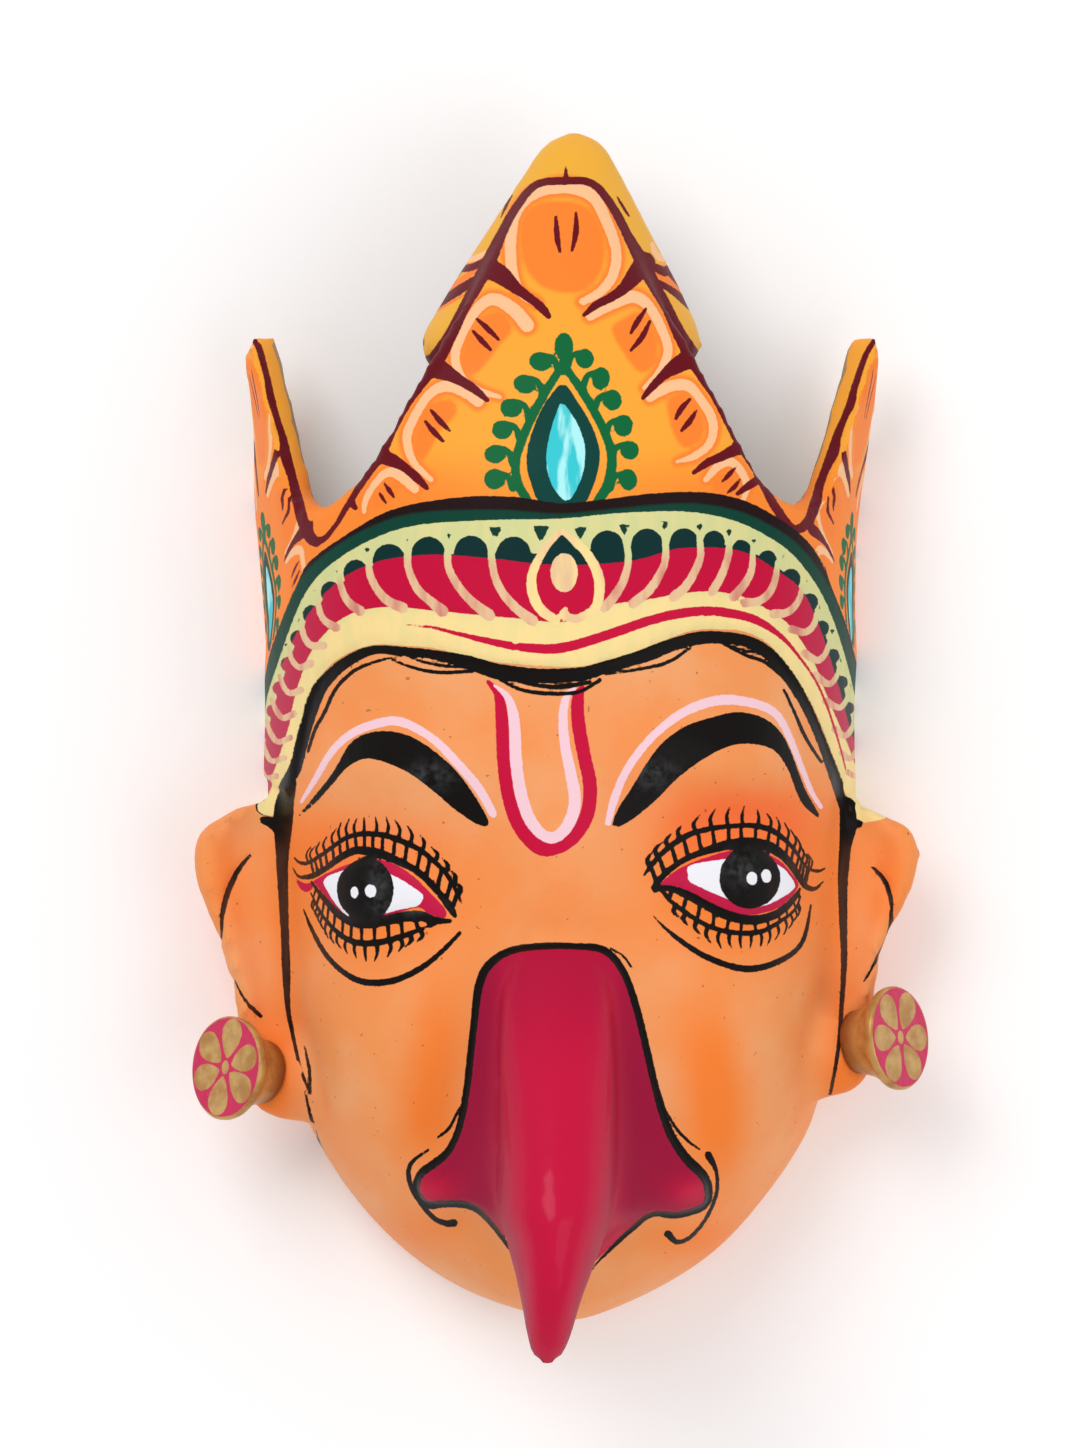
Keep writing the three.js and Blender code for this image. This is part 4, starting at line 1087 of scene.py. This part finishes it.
def stud_pose(node, facing):
    """The middle of the stud's face, and its right, up and outward directions."""
    points = points_of(node.data)
    out = Vector(facing).normalized()
    heights = points @ np.array(out)
    rim = points[heights > heights.max() - 0.0002]
    middle = Vector((rim.min(axis=0) + rim.max(axis=0)) / 2)
    up = (Vector((0, 1, 0)) - out * out.y).normalized()
    return middle, up.cross(out), up, out


def make_stud_mesh(name, pose):
    """Spun round its axis: the glued end, the flared side and a face of fine rings."""
    middle, right, up, out = pose
    face_ring = STUD_PROFILE[-1][0] / STUD_FACE_RINGS
    face = [(face_ring * i, STUD_LENGTH) for i in range(STUD_FACE_RINGS - 1, 0, -1)]
    bm = bmesh.new()
    line = [bm.verts.new((radius, 0, height)) for radius, height in STUD_PROFILE + face]
    edges = [bm.edges.new(pair) for pair in zip(line, line[1:])]
    bmesh.ops.spin(
        bm, geom=line + edges, cent=(0, 0, 0), axis=(0, 0, 1), angle=math.tau,
        steps=STUD_SEGMENTS, use_merge=True,
    )
    bmesh.ops.remove_doubles(bm, verts=bm.verts, dist=1e-6)
    open_edges = [edge for edge in bm.edges if edge.is_boundary]
    bmesh.ops.holes_fill(bm, edges=open_edges, sides=0)
    caps = [f for f in bm.faces if len(f.verts) > 4]
    bmesh.ops.poke(bm, faces=caps)
    bmesh.ops.recalc_face_normals(bm, faces=bm.faces)
    mesh = bpy.data.meshes.new(name)
    bm.to_mesh(mesh)
    bm.free()
    own = points_of(mesh)
    own[:, :2] *= 1 + 0.012 * np.sin(3 * np.arctan2(own[:, 1], own[:, 0]) + 0.7)[:, None]
    axes = np.array([right, up, out])
    own[:, :2] = np.clip(own[:, :2], -STUD_RADIUS * 1.01, STUD_RADIUS * 1.01)
    set_points(mesh, (own - (0, 0, STUD_LENGTH)) @ axes + np.array(middle))
    return mesh, own


def paint_stud(mesh, own, first_petal):
    """A six-petalled gold flower with a ringed middle on a crimson face, and a gold line round the rim."""
    places = np.stack([own[:, 0], -own[:, 1]], axis=1) / STUD_SCALE
    on_face = np.flatnonzero(own[:, 2] > STUD_LENGTH - 0.0004)
    face = Surface(places[on_face], on_face)
    radius = STUD_RADIUS / STUD_SCALE
    petals, ground, middle = Paint(len(own)), Paint(len(own)), Paint(len(own))
    ground.spot(face, 0, 0, radius * 0.96)
    middle.spot(face, 0, 0, radius * 0.1, radius * 0.13)
    for i in range(PETALS):
        turn = math.radians(first_petal + 360 / PETALS * i + 3 * math.sin(2.3 * i))
        along = np.array([math.sin(turn), -math.cos(turn)]) * radius
        broad = 1 + 0.07 * math.sin(4.1 * i + 1)
        knots = [(0.22, 0.08), (0.38, 0.3), (0.54, 0.47), (0.665, 0.54 * broad)]
        petals.stroke(face, [(*(along * share), width * radius) for share, width in knots])
    for layer, paint in (("petals", petals), ("ground", ground), ("stud_middle", middle)):
        put_attribute(mesh, layer, paint.edge)
    put_attribute(mesh, "along_stud", own[:, 2] / STUD_LENGTH)


studs = []
for stud_name, (stud_facing, first_petal) in STUDS.items():
    stud_mesh, stud_points = make_stud_mesh(stud_name, stud_pose(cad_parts[stud_name], stud_facing))
    paint_stud(stud_mesh, stud_points, first_petal)
    stud = add_object("painted_" + stud_name, stud_mesh)
    shade_smooth(stud.data)
    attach(stud, BODY)
    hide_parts(stud_name)
    studs.append(stud)


# Materials


def linear(red, green, blue):
    """A colour given as 0 to 255, as the renderer's own light values."""
    values = [channel / 255 for channel in (red, green, blue)]
    return tuple(v / 12.92 if v <= 0.04045 else ((v + 0.055) / 1.055) ** 2.4 for v in values) + (1.0,)


class Socket:
    """A node's output in an expression: arithmetic on it adds Math nodes."""

    def __init__(self, recipe, output):
        self.recipe = recipe
        self.output = output

    def math(self, operation, *others):
        return self.recipe.node("ShaderNodeMath", {"operation": operation}, [self, *others])

    def __add__(self, other):
        return self.math("ADD", other)

    def __sub__(self, other):
        return self.math("SUBTRACT", other)

    def __mul__(self, other):
        return self.math("MULTIPLY", other)

    def __rsub__(self, other):
        return self.recipe.node("ShaderNodeMath", {"operation": "SUBTRACT"}, [other, self])

    __radd__ = __add__
    __rmul__ = __mul__


class Recipe:
    """A material under construction."""

    def __init__(self, name):
        self.material = bpy.data.materials.new(name)
        self.material.use_nodes = True
        self.tree = self.material.node_tree
        self.shader = self.tree.nodes["Principled BSDF"]

    def node(self, kind, settings=(), inputs=(), output=0):
        node = self.tree.nodes.new(kind)
        for setting, value in dict(settings).items():
            setattr(node, setting, value)
        pairs = inputs.items() if isinstance(inputs, dict) else enumerate(inputs)
        for key, value in pairs:
            self.feed(node.inputs[key], value)
        return Socket(self, node.outputs[output])

    def feed(self, socket, value):
        if isinstance(value, Socket):
            self.tree.links.new(value.output, socket)
        else:
            socket.default_value = value

    def attribute(self, name):
        return self.node("ShaderNodeAttribute", {"attribute_name": name}, output="Fac")

    def place(self):
        return self.node("ShaderNodeTexCoord", output="Object")

    def noise(self, scale, detail=3.0, roughness=0.5, stretch=None):
        place = self.place()
        if stretch:
            place = self.node("ShaderNodeMapping", inputs={"Vector": place, "Scale": stretch})
        inputs = {"Vector": place, "Scale": scale, "Detail": detail, "Roughness": roughness}
        return self.node("ShaderNodeTexNoise", inputs=inputs)

    def ramp(self, value, low, high, to_low=0.0, to_high=1.0):
        inputs = [value, low, high, to_low, to_high]
        return self.node("ShaderNodeMapRange", {"interpolation_type": "SMOOTHSTEP"}, inputs)

    def mix(self, share, under, over):
        settings = {"data_type": "RGBA", "clamp_factor": True}
        node = self.tree.nodes.new("ShaderNodeMix")
        for setting, value in settings.items():
            setattr(node, setting, value)
        self.feed(node.inputs[0], share)
        self.feed(node.inputs[6], under)
        self.feed(node.inputs[7], over)
        return Socket(self, node.outputs[2])

    def finish(self, colour, roughness, bump=None, bump_depth=0.0, coat=0.0, metallic=0.0, specular=0.06):
        self.feed(self.shader.inputs["Base Color"], colour)
        self.feed(self.shader.inputs["Roughness"], roughness)
        self.feed(self.shader.inputs["Metallic"], metallic)
        self.feed(self.shader.inputs["Coat Weight"], coat)
        self.shader.inputs["Coat Roughness"].default_value = 0.15
        self.shader.inputs["Specular IOR Level"].default_value = specular
        if bump:
            inputs = {"Strength": 1.0, "Distance": bump_depth, "Height": bump}
            self.feed(self.shader.inputs["Normal"], self.node("ShaderNodeBump", inputs=inputs))
        return self.material


COLOURS = {
    "skin": (247, 155, 91), "skin_light": (246, 170, 114), "skin_blush_shade": (253, 130, 46),
    "skin_red_shade": (252, 110, 58), "speck": (120, 50, 25), "crown": (252, 170, 58),
    "crown_deep": (255, 140, 52), "ochre": (243, 178, 62), "lobe": (255, 134, 50),
    "peach": (254, 196, 146), "maroon": (104, 18, 30), "stem": (14, 104, 58), "jewel": (12, 66, 60),
    "lens": (58, 204, 214), "lens_light": (176, 244, 246), "band": (34, 18, 20),
    "band_green": (12, 66, 52), "cream": (214, 216, 152), "cream_warm": (253, 224, 154),
    "arch": (200, 14, 60), "arch_side": (194, 40, 80), "arch_dark": (12, 48, 48),
    "divider": (236, 196, 154), "line": (204, 18, 62), "gap": (20, 60, 50), "pink": (250, 208, 218),
    "black": (20, 16, 15), "brown": (74, 46, 34), "sheen": (78, 80, 82), "white": (244, 244, 250),
    "eye_red": (200, 28, 72), "beak": (200, 12, 60), "beak_shaded": (160, 20, 60),
    "paper": (188, 160, 118), "paper_dark": (150, 120, 84), "gold": (204, 162, 96),
    "gold_dark": (176, 124, 62), "glue": (150, 92, 46), "ground": (206, 28, 84),
}
TINT = {name: linear(*colour) for name, colour in COLOURS.items()}


def painted_paper():
    """All the mask's paint, laid one over another, with bare paper on the inside."""
    recipe = Recipe("painted_paper")
    wobble = (recipe.noise(900, 2.0) - 0.5) * 1.6
    patchy = recipe.noise(38, 4.0)
    streaks = recipe.noise(260, 3.0, stretch=(1.0, 0.22, 0.6))

    def painted(name, soft=0.45):
        return recipe.ramp(recipe.attribute(name) + wobble, soft, -soft)

    skin = recipe.mix(recipe.ramp(patchy, 0.35, 0.7), TINT["skin"], TINT["skin_light"])
    # Deeper orange, partly paint and partly painted shade in the eye sockets, beside the beak and in the ears
    skin = recipe.mix(recipe.attribute("blush_and_shade") * 0.9, skin, TINT["skin_blush_shade"])
    # Redder orange over the eyes, partly paint and partly painted shade under the brows
    skin = recipe.mix(recipe.attribute("flush_and_shade") * 0.9, skin, TINT["skin_red_shade"])
    specks = recipe.ramp(recipe.noise(620, 1.0), 0.755, 0.775)
    skin = recipe.mix(specks * 0.5, skin, TINT["speck"])
    crown = recipe.mix(recipe.attribute("deep"), TINT["crown"], TINT["crown_deep"])
    crown = recipe.mix(painted("ochre"), crown, TINT["ochre"])
    colour = recipe.mix(painted("crown"), skin, crown)
    colour = recipe.mix(painted("lobe", 3.0), colour, TINT["lobe"])
    for name, paint in [
        ("cone_edge", "lobe"), ("peach", "peach"), ("maroon", "maroon"), ("stem", "stem"), ("jewel", "jewel"),
    ]:
        colour = recipe.mix(painted(name), colour, TINT[paint])
    lens = recipe.mix(recipe.ramp(streaks, 0.45, 0.6), TINT["lens"], TINT["lens_light"])
    colour = recipe.mix(painted("lens"), colour, lens)
    band = recipe.mix(painted("band_green", 2.0), TINT["band"], TINT["band_green"])
    colour = recipe.mix(painted("band"), colour, band)
    warmth = recipe.attribute("low_band") * 0.8 + recipe.ramp(streaks, 0.4, 0.65) * 0.25
    cream = recipe.mix(warmth, TINT["cream"], TINT["cream_warm"])
    colour = recipe.mix(painted("cream"), colour, cream)
    dark = painted("arch_dark")
    arch = recipe.mix(recipe.attribute("side"), TINT["arch"], TINT["arch_side"])
    arch = recipe.mix(dark, arch, TINT["arch_dark"])
    colour = recipe.mix(painted("arch"), colour, arch)
    thin_paint = recipe.mix(recipe.ramp(streaks, 0.4, 0.75) * 0.6, TINT["divider"], TINT["arch_side"])
    divider = recipe.mix(recipe.ramp(recipe.attribute("arch_dark"), 8, -6), thin_paint, TINT["cream"])
    colour = recipe.mix(painted("divider"), colour, divider)
    ogive = recipe.mix(recipe.ramp(streaks, 0.35, 0.7), TINT["cream_warm"], TINT["divider"])
    colour = recipe.mix(painted("ogive"), colour, ogive)
    for name, paint in [
        ("gap", "gap"), ("line", "line"), ("tilak", "line"), ("tilak_pink", "pink"), ("brow_pink", "pink"),
    ]:
        colour = recipe.mix(painted(name), colour, TINT[paint])
    # Painted shade on the beak's flanks, root and steep sides
    beak = recipe.mix(recipe.attribute("flank_painted_shade"), TINT["beak"], TINT["beak_shaded"])
    colour = recipe.mix(painted("beak"), colour, beak)
    brown = recipe.ramp(streaks, 0.3, 0.62) * recipe.attribute("ear_line")
    black = recipe.mix(brown, TINT["black"], TINT["brown"])
    # Painted sheen: a grey painted reflection on the black paint of the eyes and brows
    sheen = recipe.attribute("sheen") * recipe.ramp(recipe.noise(420, 4.0), 0.3, 0.7)
    black = recipe.mix(sheen * 0.7, black, TINT["sheen"])
    for name, paint in [
        ("eye_red", TINT["eye_red"]), ("eye_white", TINT["white"]),
        ("black", black), ("eye_light", TINT["white"]),
    ]:
        colour = recipe.mix(painted(name), colour, paint)
    paper = recipe.mix(patchy, TINT["paper"], TINT["paper_dark"])
    outside = recipe.ramp(recipe.attribute("outside"), 0.4, 0.6)
    colour = recipe.mix(outside, paper, colour)
    gloss = recipe.ramp(recipe.attribute("black"), 0.3, -0.3)
    roughness = 0.42 + patchy * 0.12 - gloss * 0.14
    height = patchy * 0.6 + streaks * 0.25 + recipe.noise(1400, 2.0) * 0.1
    ridge = painted("beak") * (1 - recipe.attribute("flank_painted_shade"))
    return recipe.finish(colour, roughness, height, 0.0006, coat=ridge * 0.16 + 0.02)


def gold_paint():
    """Gold paint with a crimson, gold-petalled face; the gold is thin and dirty near the glued end."""
    recipe = Recipe("gold_paint")
    wobble = (recipe.noise(900, 2.0) - 0.5) * 1.4
    patchy = recipe.noise(210, 4.0)

    def painted(name, soft=0.5):
        return recipe.ramp(recipe.attribute(name) + wobble, soft, -soft)

    gold = recipe.mix(recipe.ramp(patchy, 0.35, 0.7), TINT["gold"], TINT["gold_dark"])
    low = recipe.ramp(recipe.attribute("along_stud") + (patchy - 0.5) * 0.3, 0.45, 0.05)
    gold = recipe.mix(low, gold, TINT["glue"])
    ground = painted("ground")
    colour = recipe.mix(ground, gold, TINT["ground"])
    colour = recipe.mix(painted("petals"), colour, gold)
    colour = recipe.mix(painted("stud_middle"), colour, gold)
    shine = (1 - ground) * 0.35
    roughness = 0.36 + patchy * 0.14
    return recipe.finish(colour, roughness, patchy, 0.0005, coat=0.08, metallic=shine, specular=0.3)


shell.data.materials.clear()
shell.data.materials.append(painted_paper())
gold = gold_paint()
for stud in studs:
    stud.data.materials.append(gold)


def make_floor():
    bm = bmesh.new()
    bmesh.ops.create_grid(bm, x_segments=1, y_segments=1, size=3.0)
    mesh = bpy.data.meshes.new("floor")
    bm.to_mesh(mesh)
    bm.free()
    floor = add_object("floor", mesh)
    recipe = Recipe("pale_floor")
    white = linear(250, 250, 251)
    recipe.finish(white, 0.9)
    recipe.shader.inputs["Emission Color"].default_value = white
    recipe.shader.inputs["Emission Strength"].default_value = 0.1
    mesh.materials.append(recipe.material)


def add_area_light(name, place, size, power):
    """A square light that faces the mask."""
    data = bpy.data.lights.new(name, "AREA")
    data.size = size
    data.energy = power
    light = bpy.data.objects.new(name, data)
    bpy.context.scene.collection.objects.link(light)
    light.location = place
    light.rotation_euler = (-Vector(place)).to_track_quat("-Z", "Y").to_euler()


def make_studio():
    scene = bpy.context.scene
    scene.view_settings.view_transform = "Standard"
    scene.world = bpy.data.worlds.new("studio")
    scene.world.use_nodes = True
    background = scene.world.node_tree.nodes["Background"]
    background.inputs["Color"].default_value = (1.0, 1.0, 1.0, 1.0)
    background.inputs["Strength"].default_value = 0.6
    add_area_light("key", (-0.6, 0.8, 1.5), 0.9, 11)
    add_area_light("fill", (0.9, -0.4, 1.3), 1.2, 5.5)


make_floor()
make_studio()
